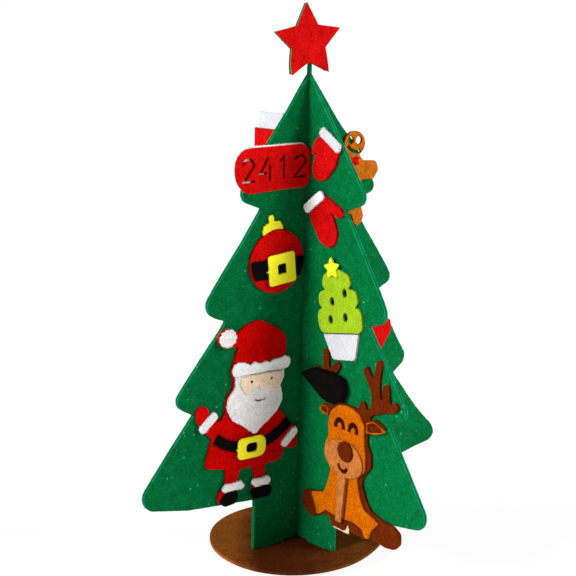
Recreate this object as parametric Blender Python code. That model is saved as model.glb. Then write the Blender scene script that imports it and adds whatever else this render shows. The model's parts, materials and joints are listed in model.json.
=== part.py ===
"""Felt Christmas tree: two slotted panels that cross on a round base, dressed with layered felt ornaments.

Metres, +Z up. The origin is the centre of the underside of the base. Panel A-C runs along X and carries
the star; it drops over panel B-D, which runs along Y. Ornaments lie on the -Y face of panel A-C and on the
-X face of panel B-D. Every ornament is drawn flat, x across and y up, and is then stood on its face.
"""
import math

import bmesh
import bpy

# Driving sizes of the tree
spine_height = 0.300
panel_thickness = 0.003
gap = 0.0003
base_radius = 0.0575
base_thickness = 0.002

# Slots, tabs and trunk
slot_depth_share = 0.5
trunk_half_width = 0.0368
trunk_height_share = 0.113
tab_inset = 0.012
tab_width = 0.018

# Tiers, as corner points of the right half: reach from the spine, height, corner radius
tier_reach = 0.124
tip_radius = 0.0065
tier_shares = [
    (0.700, 0.128, 2.0),
    (1.005, 0.155, 1.25),
    (0.666, 0.325, 0.08),
    (0.782, 0.352, 1.0),
    (0.496, 0.515, 0.08),
    (0.631, 0.540, 1.0),
    (0.295, 0.731, 0.08),
    (0.450, 0.756, 0.9),
]
apex_slope_share = 1.276
trunk_corner_radius = 0.002

# Star on top of panel A-C
star_radius = 0.0227
star_overhang = 0.0005
star_inner_share = 0.52
star_lean = math.radians(4.3)
star_side_step = -0.0024
star_neck_half_width = 0.0010
star_lift_share = 1.0587

# Felt layers of the ornaments
back_felt = 0.0015
face_felt = 0.0012
trim_felt = 0.0010
fleece_felt = 0.0024
punch_radius = 0.0009

# Places on the tree of the ornaments, as shares of the spine height: across from the spine, up from the base
plaque_place_share = (-0.1007, 0.8113)
bauble_place_share = (-0.0810, 0.6207)
santa_place_share = (-0.1367, 0.1217)
gingerbread_place_share = (0.1113, 0.6800)
heart_place_share = (0.2227, 0.3867)
upper_mitten_place_share = (0.0843, 0.8697)
lower_mitten_place_share = (0.0407, 0.7413)
potted_tree_place_share = (0.1320, 0.4857)
reindeer_place_share = (0.1690, 0.0700)
stocking_place_share = (-0.1167, 0.8760)

# Plaque with numerals
plaque_width = 0.0564
plaque_height = 0.0264
plaque_left_radius = 0.0115
plaque_right_radius = 0.0070
plaque_backing_margin = 0.0004
plaque_backing_rise = 0.0004
plaque_backing_inset = 0.0008
plaque_lean = math.radians(1.5)
numeral_height = 0.0140
numeral_width = 0.0088
numeral_pitch = 0.0131
numeral_side_step = 0.0008
numeral_stroke = 0.0017
numeral_depth_share = 0.55
numeral_text = "2412"

# Bauble
bauble_width = 0.0418
bauble_height = 0.0394
bauble_band_height = 0.0120
bauble_band_drop = 0.0044
bauble_band_inset = 0.0008
bauble_buckle_width = 0.0205
bauble_buckle_height = 0.0190
bauble_buckle_side_step = 0.0022
bauble_buckle_lean = math.radians(6.0)
bauble_buckle_hole_share = (0.33, 0.33)
bauble_buckle_corner_share = 0.08
bauble_cap_width = 0.0156
bauble_cap_height = 0.0050
bauble_cap_stub_width = 0.0034
bauble_cap_stub_height = 0.0043
bauble_cap_shoulder_share = 0.8
bauble_cap_corner_share = 0.2
bauble_cap_stub_corner_share = 0.7
bauble_lean = math.radians(11.0)

# Father Christmas figure
santa_width = 0.080
santa_height = 0.116

# Gingerbread figure
gingerbread_width = 0.0425
gingerbread_height = 0.0595
gingerbread_lean = math.radians(-2.0)

# Heart
heart_width = 0.0206
heart_height = 0.0220

# Mittens
mitten_width = 0.0185
mitten_length = 0.0302
mitten_cuff_length = 0.0200
mitten_cuff_height = 0.0058
mitten_cuff_radius = 0.0022
upper_mitten_lean = math.radians(-31.0)
lower_mitten_lean = math.radians(36.0)

# Potted tree
foliage_width = 0.0388
foliage_height = 0.0392
pot_width = 0.0314
pot_height = 0.0161
potted_tree_star_radius = 0.0072
potted_tree_star_inner_share = 0.52
potted_tree_star_tip_radius = 0.0007
potted_tree_lean = math.radians(11.0)

# Reindeer
reindeer_width = 0.0924
reindeer_height = 0.116
reindeer_hoof_backing_width = 0.0130
reindeer_hoof_backing_height = 0.0100

# Black cap that hangs on an antler
cap_width = 0.0430
cap_height = 0.0205
cap_crown = 0.0042
cap_rings = 5

# Stocking
stocking_width = 0.0300
stocking_height = 0.0420
stocking_cuff_width = 0.0245
stocking_cuff_height = 0.0102
stocking_cuff_radius = 0.0006

# Smoothness of round stretches
arc_step = math.radians(22.0)
ring_count = 72
small_ring_count = 24
fillet_room_share = 0.48
mitre_limit_share = 0.45
crease_angle = math.radians(32.0)

half_panel = panel_thickness / 2
foot_height = base_thickness + gap
slot_half_width = half_panel + gap
slot_meeting_height = spine_height * slot_depth_share
first_layer = half_panel + gap
second_layer = first_layer + back_felt + gap
third_layer = second_layer + face_felt + gap
fourth_layer = third_layer + trim_felt + gap

AC_FACE = 0.0
BD_FACE = -math.pi / 2

palette = {
    "felt_green": (0.004, 0.110, 0.045),
    "felt_red": (0.560, 0.006, 0.008),
    "felt_white": (0.800, 0.790, 0.800),
    "felt_black": (0.006, 0.006, 0.007),
    "felt_yellow": (0.850, 0.720, 0.020),
    "felt_lime": (0.340, 0.560, 0.015),
    "felt_orange": (0.730, 0.210, 0.008),
    "felt_tan": (0.640, 0.300, 0.090),
    "felt_dark_brown": (0.110, 0.022, 0.006),
    "felt_gingerbread": (0.560, 0.170, 0.018),
    "felt_skin": (0.830, 0.560, 0.320),
    "felt_cream": (0.850, 0.680, 0.450),
    "felt_base_brown": (0.170, 0.070, 0.018),
}


def clear_scene():
    for old in list(bpy.data.objects):
        bpy.data.objects.remove(old, do_unlink=True)


def felt(name):
    """Matt felt material in one of the palette's colours."""
    found = bpy.data.materials.get(name)
    if found:
        return found
    material = bpy.data.materials.new(name)
    material.use_nodes = True
    shader = material.node_tree.nodes["Principled BSDF"]
    shader.inputs["Base Color"].default_value = (*palette[name], 1.0)
    shader.inputs["Roughness"].default_value = 0.95
    shader.inputs["Metallic"].default_value = 0.0
    return material


# Flat outlines

def sized(shares, width, height):
    """Corners in lengths from shares of a width and a height; the radius is a share of the width."""
    return [(x * width, y * height, radius * width) for x, y, radius in shares]


def rounded(corners):
    """Outline through the corners, each cut by a tangent arc of its radius."""
    points = []
    count = len(corners)
    for index, (x, y, radius) in enumerate(corners):
        before = corners[index - 1]
        after = corners[(index + 1) % count]
        back = (before[0] - x, before[1] - y)
        ahead = (after[0] - x, after[1] - y)
        back_length = math.hypot(*back)
        ahead_length = math.hypot(*ahead)
        back = (back[0] / back_length, back[1] / back_length)
        ahead = (ahead[0] / ahead_length, ahead[1] / ahead_length)
        opening = math.acos(max(-1.0, min(1.0, back[0] * ahead[0] + back[1] * ahead[1])))
        half = opening / 2
        room = fillet_room_share * min(back_length, ahead_length)
        reach = min(radius / math.tan(half), room)
        turn = math.pi - opening
        if reach <= 0 or turn < arc_step / 4:
            points.append((x, y))
            continue
        fitted = reach * math.tan(half)
        middle = (back[0] + ahead[0], back[1] + ahead[1])
        middle_length = math.hypot(*middle)
        away = fitted / math.sin(half)
        centre = (x + middle[0] / middle_length * away, y + middle[1] / middle_length * away)
        start = math.atan2(y + back[1] * reach - centre[1], x + back[0] * reach - centre[0])
        side = back[0] * ahead[1] - back[1] * ahead[0]
        sweep = turn if side < 0 else -turn
        steps = max(2, math.ceil(turn / arc_step))
        for step in range(steps + 1):
            angle = start + sweep * step / steps
            points.append((centre[0] + fitted * math.cos(angle), centre[1] + fitted * math.sin(angle)))
    return points


def mirrored(right_half):
    """Whole corner list from the corners of the right half, given from bottom to top."""
    left_half = [(-x, y, radius) for x, y, radius in reversed(right_half) if x > 0]
    return right_half + left_half


def ellipse(width, height, count=ring_count, centre=(0.0, 0.0)):
    return [
        (
            centre[0] + width / 2 * math.cos(math.tau * index / count),
            centre[1] + height / 2 * math.sin(math.tau * index / count),
        )
        for index in range(count)
    ]


def box(width, height, radius, centre=(0.0, 0.0)):
    """Rounded rectangle about a centre."""
    x, y = width / 2, height / 2
    corners = [(-x, -y, radius), (x, -y, radius), (x, y, radius), (-x, y, radius)]
    return moved(rounded(corners), centre)


def star(radius, inner_share, lean, centre=(0.0, 0.0)):
    """Ten points of a five-pointed star, clockwise from its top."""
    points = []
    for index in range(10):
        angle = math.pi / 2 + lean - index * math.pi / 5
        reach = radius if index % 2 == 0 else radius * inner_share
        points.append((centre[0] + reach * math.cos(angle), centre[1] + reach * math.sin(angle)))
    return points


def moved(points, step):
    return [(x + step[0], y + step[1]) for x, y in points]


def turned(points, angle):
    c, s = math.cos(angle), math.sin(angle)
    return [(x * c - y * s, x * s + y * c) for x, y in points]


def ribbon(path, width):
    """Outline of a strip of even width along an open path."""
    left, right = [], []
    befores = path[:1] + path[:-1]
    afters = path[1:] + path[-1:]
    for a, (x, y), b in zip(befores, path, afters):
        if a != (x, y) != b:
            first = math.atan2(y - a[1], x - a[0])
            second = math.atan2(b[1] - y, b[0] - x)
            bend = (second - first + math.pi) % math.tau - math.pi
            heading = first + bend / 2
            reach = width / 2 / max(math.cos(bend / 2), mitre_limit_share)
        else:
            heading = math.atan2(b[1] - a[1], b[0] - a[0])
            reach = width / 2
        step = (-math.sin(heading) * reach, math.cos(heading) * reach)
        left.append((x + step[0], y + step[1]))
        right.append((x - step[0], y - step[1]))
    return right + left[::-1]


def arch(width, height, stroke):
    """Upside-down U with round feet, standing on its feet."""
    outer, inner = width / 2, width / 2 - stroke
    rise = height - outer
    count = small_ring_count // 2
    over = [
        (outer * math.cos(math.pi * i / count), rise + outer * math.sin(math.pi * i / count))
        for i in range(count + 1)
    ]
    under = [
        (inner * math.cos(math.pi * i / count), rise + inner * math.sin(math.pi * i / count))
        for i in range(count + 1)
    ]
    return over + [(-outer, 0.0), (-inner, 0.0)] + under[::-1] + [(inner, 0.0), (outer, 0.0)]


# Solids

def plate_mesh(name, outline, thickness, holes=()):
    """Die-cut sheet: the outline less its holes, from z = 0 up to the thickness."""
    mesh_data = bmesh.new()
    edges = []
    for loop in (outline, *holes):
        corners = [mesh_data.verts.new((x, y, 0.0)) for x, y in loop]
        edges += [mesh_data.edges.new((corners[i - 1], corners[i])) for i in range(len(corners))]
    bmesh.ops.triangle_fill(
        mesh_data, use_beauty=True, use_dissolve=False, edges=edges, normal=(0.0, 0.0, 1.0)
    )
    raised = bmesh.ops.extrude_face_region(mesh_data, geom=mesh_data.faces[:])
    top = [item for item in raised["geom"] if isinstance(item, bmesh.types.BMVert)]
    bmesh.ops.translate(mesh_data, vec=(0.0, 0.0, thickness), verts=top)
    return finished(name, mesh_data)


def dome_mesh(name, outline, height, rings):
    """Closed form with a flat back whose front rises from the outline to a crown."""
    mesh_data = bmesh.new()
    middle = (
        sum(x for x, y in outline) / len(outline),
        sum(y for x, y in outline) / len(outline),
    )
    loops = []
    for ring in range(rings):
        angle = ring / rings * math.pi / 2
        scale = math.cos(angle)
        rise = height * math.sin(angle)
        loops.append([
            mesh_data.verts.new((
                middle[0] + (x - middle[0]) * scale,
                middle[1] + (y - middle[1]) * scale,
                rise,
            ))
            for x, y in outline
        ])
    crown = mesh_data.verts.new((middle[0], middle[1], height))
    count = len(outline)
    for low, high in zip(loops, loops[1:]):
        for i in range(count):
            mesh_data.faces.new((low[i - 1], low[i], high[i], high[i - 1]))
    for i in range(count):
        mesh_data.faces.new((loops[-1][i - 1], loops[-1][i], crown))
    mesh_data.faces.new(loops[0])
    return finished(name, mesh_data)


def finished(name, mesh_data):
    bmesh.ops.recalc_face_normals(mesh_data, faces=mesh_data.faces[:])
    mesh = bpy.data.meshes.new(name)
    mesh_data.to_mesh(mesh)
    mesh_data.free()
    mesh.shade_smooth()
    mesh.set_sharp_from_angle(angle=crease_angle)
    return mesh


def add(name, mesh, colour, parent, location=(0.0, 0.0, 0.0), rotation=(0.0, 0.0, 0.0)):
    item = bpy.data.objects.new(name, mesh)
    bpy.context.collection.objects.link(item)
    mesh.materials.append(felt(colour))
    item.parent = parent
    item.location = location
    item.rotation_euler = rotation
    return item


def empty(name, parent=None):
    """Frame of a lifting piece: its joint's axis is the empty's Z axis."""
    frame = bpy.data.objects.new(name, None)
    bpy.context.collection.objects.link(frame)
    frame.parent = parent
    return frame


class Face:
    """One dressed face of the tree: stands flat pieces up on the panel that carries them."""

    def __init__(self, frame, heading):
        self.frame = frame
        self.heading = heading

    def add(self, name, mesh, colour, place, layer, lean=0.0):
        across = place[0] * spine_height
        up = foot_height + place[1] * spine_height
        if self.heading == AC_FACE:
            location = (across, -layer, up)
        else:
            location = (-layer, -across, up)
        return add(name, mesh, colour, self.frame, location, (math.pi / 2, -lean, self.heading))

    def plate(self, name, outline, thickness, colour, place, layer, lean=0.0, holes=()):
        mesh = plate_mesh(name, outline, thickness, holes)
        return self.add(name, mesh, colour, place, layer, lean)


# The tree itself

def tier_corners():
    """Right side of the tree from the foot of the trunk to just below the apex."""
    corners = [
        (trunk_half_width, 0.0, 0.0),
        (trunk_half_width, trunk_height_share * spine_height, trunk_corner_radius),
    ]
    corners += [
        (reach * tier_reach, height * spine_height, radius * tip_radius)
        for reach, height, radius in tier_shares
    ]
    return corners


def apex_height(reach):
    """Height of the top tier's sloping edge at a distance from the spine."""
    return spine_height - apex_slope_share * reach


def tab_corners():
    """Right foot outwards from the spine, with the tab that drops through the base."""
    bottom = gap - foot_height
    return [
        (tab_inset, 0.0, 0.0),
        (tab_inset, bottom, 0.0),
        (tab_inset + tab_width, bottom, 0.0),
        (tab_inset + tab_width, 0.0, 0.0),
    ]


def mirror_loop(corners, bottom, top):
    """Closed corner loop: bottom corners, the right side, the top corners and the mirrored right side."""
    left = [(-x, y, radius) for x, y, radius in reversed(corners)]
    return bottom + corners + top + left


def panel_bd_outline():
    """Panel whose slot is open at the apex."""
    slot = slot_half_width
    slot_floor = slot_meeting_height - gap / 2
    side = tab_corners() + tier_corners()
    side.append((slot, apex_height(slot), 0.0))
    top = [(slot, slot_floor, 0.0), (-slot, slot_floor, 0.0)]
    return rounded(mirror_loop(side, [], top))


def star_points(overhang=0.0):
    """The star's backing, or the larger star glued on it."""
    centre = (star_side_step, star_lift_share * spine_height)
    return star(star_radius + overhang, star_inner_share, star_lean, centre)


def point_at(start, end, x):
    """Point of a straight edge that has the given x."""
    share = (x - start[0]) / (end[0] - start[0])
    return (x, start[1] + share * (end[1] - start[1]))


def panel_ac_outline():
    """Panel whose slot is open at the foot, with the star's backing on a neck at the top."""
    slot = slot_half_width
    slot_top = slot_meeting_height + gap / 2
    neck = star_neck_half_width
    side = [(slot, 0.0, 0.0)] + tab_corners() + tier_corners()
    side.append((neck, apex_height(neck), 0.0))
    tips = star_points()
    right_root = point_at(tips[4], tips[5], neck)
    left_root = point_at(tips[5], tips[6], -neck)
    ring = [right_root, *tips[4::-1], *tips[:5:-1], left_root]
    top = [(x, y, 0.0) for x, y in ring]
    bottom = [(-slot, slot_top, 0.0), (slot, slot_top, 0.0)]
    return rounded(mirror_loop(side, bottom, top))


def add_base(root):
    """Round base with a slit for each tab."""
    slit_width = panel_thickness + 2 * gap
    slit_length = tab_width + 2 * gap
    slit_reach = tab_inset + tab_width / 2
    holes = []
    for sign in (-1, 1):
        holes.append(box(slit_length, slit_width, 0.0, (sign * slit_reach, 0.0)))
        holes.append(box(slit_width, slit_length, 0.0, (0.0, sign * slit_reach)))
    outline = ellipse(2 * base_radius, 2 * base_radius)
    add("base", plate_mesh("base", outline, base_thickness, holes), "felt_base_brown", root)


def add_panel(name, outline, frame, heading):
    """Green panel, stood up with its thickness centred on the spine."""
    mesh = plate_mesh(name, outline, panel_thickness)
    for corner in mesh.vertices:
        corner.co.z -= half_panel
    add(name, mesh, "felt_green", frame, (0.0, 0.0, foot_height), (math.pi / 2, 0.0, heading))


def add_star(face):
    points = moved(star_points(star_overhang), (0.0, -star_lift_share * spine_height))
    face.plate("star", points, face_felt, "felt_red", (0.0, star_lift_share), first_layer)


# Plaque

def plaque_outline(margin=0.0, inset=0.0):
    x = plaque_width / 2
    y = plaque_height / 2 + margin
    left, right = plaque_left_radius, plaque_right_radius
    return rounded([(inset - x, -y, left), (x, -y, right), (x, y, right), (inset - x, y, left)])


numeral_stroke_shares = {
    "1": [[(0.22, 0.80), (0.58, 1.00), (0.58, 0.00)]],
    "4": [[(0.66, 1.00), (0.02, 0.34), (0.50, 0.34)], [(0.80, 0.66), (0.80, 0.00)]],
}


def numeral_strokes(numeral):
    """Strokes of a stencil numeral, as shares of its width and height."""
    if numeral == "2":
        bowl = [
            (0.5 + 0.46 * math.cos(math.radians(a)), 0.72 + 0.26 * math.sin(math.radians(a)))
            for a in range(170, -40, -30)
        ]
        return [bowl + [(0.04, 0.06), (0.98, 0.06)]]
    return numeral_stroke_shares[numeral]


def numeral_cutter(frame):
    """Prisms of all the numerals, which the engraving takes out of the plaque."""
    depth = face_felt * numeral_depth_share
    cutter = bmesh.new()
    first = numeral_side_step - (len(numeral_text) - 1) / 2 * numeral_pitch
    for place, numeral in enumerate(numeral_text):
        left = first + place * numeral_pitch - numeral_width / 2
        low = -numeral_height / 2
        for stroke in numeral_strokes(numeral):
            path = [(left + x * numeral_width, low + y * numeral_height) for x, y in stroke]
            mesh = plate_mesh("numeral", ribbon(path, numeral_stroke), face_felt)
            for corner in mesh.vertices:
                corner.co.z += face_felt - depth
            cutter.from_mesh(mesh)
            bpy.data.meshes.remove(mesh)
    mesh = bpy.data.meshes.new("numeral_cutter")
    cutter.to_mesh(mesh)
    cutter.free()
    guide = bpy.data.objects.new("numeral_cutter", mesh)
    bpy.context.collection.objects.link(guide)
    guide.parent = frame
    guide.hide_render = True
    guide.display_type = "WIRE"
    return guide


def add_plaque(face):
    place, lean = plaque_place_share, plaque_lean
    backing = moved(plaque_outline(plaque_backing_margin, plaque_backing_inset), (0.0, plaque_backing_rise))
    face.plate("plaque_backing", backing, face_felt, "felt_white", place, first_layer, lean)
    layer = first_layer + face_felt + gap
    front = face.plate("plaque_front", plaque_outline(), face_felt, "felt_red", place, layer, lean)
    engraving = front.modifiers.new("engraving", "BOOLEAN")
    engraving.operation = "DIFFERENCE"
    engraving.solver = "EXACT"
    engraving.object = numeral_cutter(front)


# Bauble

def bauble_edge(x, grow=0.0):
    """Height of the ball's upper edge at a distance from its centre line."""
    half_width = bauble_width / 2 + grow
    half_height = bauble_height / 2 + grow
    return half_height * math.sqrt(1 - (x / half_width) ** 2)


def bauble_band_outline():
    """Strip across the ball whose ends follow the ball's edge."""
    width = bauble_width / 2 - bauble_band_inset
    height = bauble_height / 2 - bauble_band_inset
    low = -bauble_band_drop - bauble_band_height / 2
    high = -bauble_band_drop + bauble_band_height / 2
    start, end = math.asin(low / height), math.asin(high / height)
    steps = [start + (end - start) * i / 6 for i in range(7)]
    right = [(width * math.cos(a), height * math.sin(a)) for a in steps]
    return right + [(-x, y) for x, y in reversed(right)]


def bauble_cap_outline():
    """Crown that hugs the ball's shoulder, with a hanging stub."""
    half = bauble_cap_width / 2
    seat = [-half + bauble_cap_width * i / 8 for i in range(9)]
    under = [(x, bauble_edge(x, gap)) for x in seat]
    shoulder = bauble_edge(0.0, gap) + bauble_cap_height
    stub = bauble_cap_stub_width / 2
    top = shoulder + bauble_cap_stub_height
    brim = bauble_edge(half, gap) + bauble_cap_height / 2
    outer = half * bauble_cap_shoulder_share
    droop = shoulder - bauble_cap_height * bauble_cap_corner_share
    outer_radius = half * bauble_cap_corner_share
    inner_radius = stub * bauble_cap_corner_share
    stub_radius = stub * bauble_cap_stub_corner_share
    over = [
        (half, brim, 0.0),
        (outer, droop, outer_radius),
        (stub, shoulder, inner_radius),
        (stub, top, stub_radius),
        (-stub, top, stub_radius),
        (-stub, shoulder, inner_radius),
        (-outer, droop, outer_radius),
        (-half, brim, 0.0),
    ]
    return rounded([(x, y, 0.0) for x, y in under] + over)


buckle_tongue_share = 0.05
buckle_tongue_reach_share = 0.10


def buckle(width, height, hole_share, radius_share):
    """Outline and hole of a square buckle, with the tip of its tongue at the left."""
    tongue = height * buckle_tongue_share
    tongue_reach = height * buckle_tongue_reach_share
    x, y = width / 2, height / 2
    radius = radius_share * width
    corners = [
        (-x, -y, radius), (x, -y, radius), (x, y, radius), (-x, y, radius),
        (-x, tongue, 0.0), (-x - tongue_reach, 0.0, tongue / 2), (-x, -tongue, 0.0),
    ]
    hole = box(width * hole_share[0], height * hole_share[1], radius / 2)
    return rounded(corners), hole


def add_bauble(face):
    place = bauble_place_share
    ball = ellipse(bauble_width, bauble_height)
    face.plate("bauble_ball", ball, back_felt, "felt_red", place, first_layer)
    cap = turned(bauble_cap_outline(), bauble_lean)
    face.plate("bauble_cap", cap, back_felt, "felt_yellow", place, first_layer)
    band = bauble_band_outline()
    face.plate("bauble_band", band, face_felt, "felt_black", place, second_layer)
    frame, hole = buckle(
        bauble_buckle_width, bauble_buckle_height, bauble_buckle_hole_share, bauble_buckle_corner_share
    )
    step = (bauble_buckle_side_step, -bauble_band_drop)
    frame, hole = [moved(turned(loop, bauble_buckle_lean), step) for loop in (frame, hole)]
    face.plate("bauble_buckle", frame, trim_felt, "felt_yellow", place, third_layer, holes=[hole])


# Father Christmas figure. Shares of its width and height from the middle of its feet; radii of its width.

santa_coat_shares = [
    (-0.318, 0.013, 0.035), (-0.318, 0.075, 0.030), (-0.250, 0.092, 0.020), (-0.244, 0.198, 0.015),
    (-0.444, 0.228, 0.045), (-0.386, 0.350, 0.030), (-0.372, 0.386, 0.012), (-0.450, 0.436, 0.020),
    (-0.500, 0.485, 0.040), (-0.514, 0.552, 0.045), (-0.462, 0.577, 0.040), (-0.408, 0.556, 0.022),
    (-0.400, 0.520, 0.020), (-0.345, 0.478, 0.020), (-0.300, 0.470, 0.030), (-0.255, 0.510, 0.030),
    (-0.244, 0.590, 0.045), (-0.182, 0.640, 0.030), (-0.186, 0.700, 0.020), (-0.206, 0.730, 0.020),
    (-0.178, 0.785, 0.030), (-0.160, 0.835, 0.030), (-0.142, 0.866, 0.012), (-0.262, 0.862, 0.075),
    (-0.340, 0.900, 0.065), (-0.338, 0.962, 0.065), (-0.262, 0.988, 0.075), (-0.160, 0.936, 0.020),
    (-0.080, 0.972, 0.050), (0.050, 0.993, 0.080), (0.150, 0.958, 0.060), (0.235, 0.925, 0.060),
    (0.315, 0.880, 0.070), (0.325, 0.800, 0.060), (0.305, 0.765, 0.010), (0.352, 0.758, 0.020),
    (0.352, 0.705, 0.020), (0.290, 0.690, 0.010), (0.280, 0.610, 0.020), (0.285, 0.545, 0.040),
    (0.260, 0.480, 0.020), (0.335, 0.412, 0.030), (0.420, 0.360, 0.020), (0.447, 0.300, 0.020),
    (0.447, 0.233, 0.035), (0.365, 0.233, 0.035), (0.318, 0.268, 0.010), (0.306, 0.330, 0.010),
    (0.318, 0.235, 0.030), (0.270, 0.180, 0.040), (0.132, 0.178, 0.015), (0.132, 0.070, 0.010),
    (0.190, 0.062, 0.030), (0.196, -0.004, 0.040), (0.012, -0.004, 0.040), (0.008, 0.062, 0.025),
    (0.030, 0.100, 0.015), (0.018, 0.182, 0.015), (-0.112, 0.180, 0.015), (-0.140, 0.100, 0.015),
    (-0.128, 0.078, 0.020), (-0.138, 0.013, 0.040),
]
santa_beard_shares = [
    (-0.170, 0.698, 0.005), (-0.174, 0.640, 0.025), (-0.236, 0.590, 0.045), (-0.250, 0.530, 0.060),
    (-0.190, 0.461, 0.040), (-0.100, 0.427, 0.025), (-0.030, 0.388, 0.012), (0.018, 0.364, 0.018),
    (0.064, 0.392, 0.012), (0.138, 0.427, 0.025), (0.222, 0.466, 0.040), (0.281, 0.530, 0.050),
    (0.268, 0.592, 0.025), (0.256, 0.608, 0.005), (0.290, 0.660, 0.025), (0.292, 0.698, 0.005),
]
santa_face_shares = [
    (-0.125, 0.695, 0.005), (-0.125, 0.640, 0.030), (-0.066, 0.590, 0.025), (-0.010, 0.625, 0.020),
    (0.060, 0.636, 0.020), (0.130, 0.625, 0.020), (0.186, 0.590, 0.025), (0.250, 0.640, 0.030),
    (0.250, 0.695, 0.005),
]
santa_brim_shares = [
    (-0.199, 0.738, 0.030), (-0.190, 0.709, 0.020), (-0.130, 0.702, 0.020), (-0.045, 0.705, 0.020),
    (0.032, 0.702, 0.020), (0.147, 0.705, 0.020), (0.255, 0.702, 0.020), (0.325, 0.706, 0.025),
    (0.353, 0.733, 0.030), (0.337, 0.759, 0.020), (0.300, 0.771, 0.020), (0.253, 0.762, 0.010),
    (0.200, 0.761, 0.020), (0.150, 0.749, 0.010), (0.107, 0.758, 0.020), (0.056, 0.748, 0.010),
    (0.006, 0.764, 0.020), (-0.034, 0.749, 0.010), (-0.098, 0.770, 0.020), (-0.145, 0.774, 0.020),
    (-0.180, 0.763, 0.020),
]
santa_left_boot_shares = [
    (-0.314, 0.024, 0.030), (-0.250, 0.072, 0.012), (-0.140, 0.068, 0.012), (-0.136, 0.028, 0.030),
    (-0.170, 0.001, 0.025), (-0.262, -0.004, 0.030),
]
santa_right_boot_shares = [
    (-0.012, 0.032, 0.035), (-0.002, 0.058, 0.012), (0.176, 0.058, 0.015), (0.192, 0.030, 0.035),
    (0.176, -0.007, 0.035), (0.012, -0.005, 0.035),
]
santa_left_trim_shares = [
    (-0.292, 0.090, 0.020), (-0.262, 0.119, 0.020), (-0.180, 0.115, 0.015), (-0.110, 0.120, 0.020),
    (-0.072, 0.088, 0.022), (-0.105, 0.073, 0.012), (-0.190, 0.079, 0.015), (-0.255, 0.076, 0.015),
]
santa_right_trim_shares = [
    (-0.010, 0.093, 0.020), (0.010, 0.111, 0.015), (0.085, 0.105, 0.015), (0.150, 0.112, 0.020),
    (0.184, 0.085, 0.022), (0.150, 0.063, 0.015), (0.090, 0.067, 0.015), (0.035, 0.063, 0.020),
]
santa_pompom_place_share = (-0.262, 0.926)
santa_pompom_share = 0.142
santa_pompom_lobes = 11
santa_pompom_lobe_share = 0.055
santa_belt_shares = [(-0.342, 0.382), (-0.012, 0.300), (0.352, 0.398)]
santa_belt_width_share = 0.080
santa_buckle_size_share = (0.262, 0.116)
santa_buckle_place_share = (-0.020, 0.300)
santa_buckle_hole_share = (0.42, 0.45)
santa_buckle_corner_share = 0.24
santa_cuff_size_share = (0.182, 0.064)
santa_cuff_corner_share = 0.42
santa_left_cuff_place_share = (-0.412, 0.480)
santa_right_cuff_place_share = (0.362, 0.304)
santa_cuff_lean = math.radians(41.0)
santa_eye_places_share = [(-0.033, 0.664), (0.158, 0.664)]
santa_nose_place_share = (0.0625, 0.640)
santa_nose_share = 0.050
santa_smile_shares = [
    (0.010, 0.558), (0.035, 0.550), (0.0625, 0.548), (0.090, 0.550), (0.115, 0.558),
]
santa_smile_stroke_share = 0.013


def santa_point(share):
    return (share[0] * santa_width, share[1] * santa_height)


def circle_through(start, middle, end, count):
    """Points of the arc that runs through three points."""
    (ax, ay), (bx, by), (cx, cy) = start, middle, end
    d = 2 * (ax * (by - cy) + bx * (cy - ay) + cx * (ay - by))
    a2, b2, c2 = ax * ax + ay * ay, bx * bx + by * by, cx * cx + cy * cy
    ux = (a2 * (by - cy) + b2 * (cy - ay) + c2 * (ay - by)) / d
    uy = (a2 * (cx - bx) + b2 * (ax - cx) + c2 * (bx - ax)) / d
    radius = math.hypot(ax - ux, ay - uy)
    first = math.atan2(ay - uy, ax - ux)
    last = math.atan2(cy - uy, cx - ux)
    return [
        (
            ux + radius * math.cos(first + (last - first) * i / count),
            uy + radius * math.sin(first + (last - first) * i / count),
        )
        for i in range(count + 1)
    ]


def pompom_outline(radius, lobes, lobe_share):
    count = lobes * 5
    outline = []
    for index in range(count):
        angle = math.tau * index / count
        reach = radius * (1 + lobe_share * math.cos(lobes * angle))
        outline.append((reach * math.cos(angle), reach * math.sin(angle)))
    return outline


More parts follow.
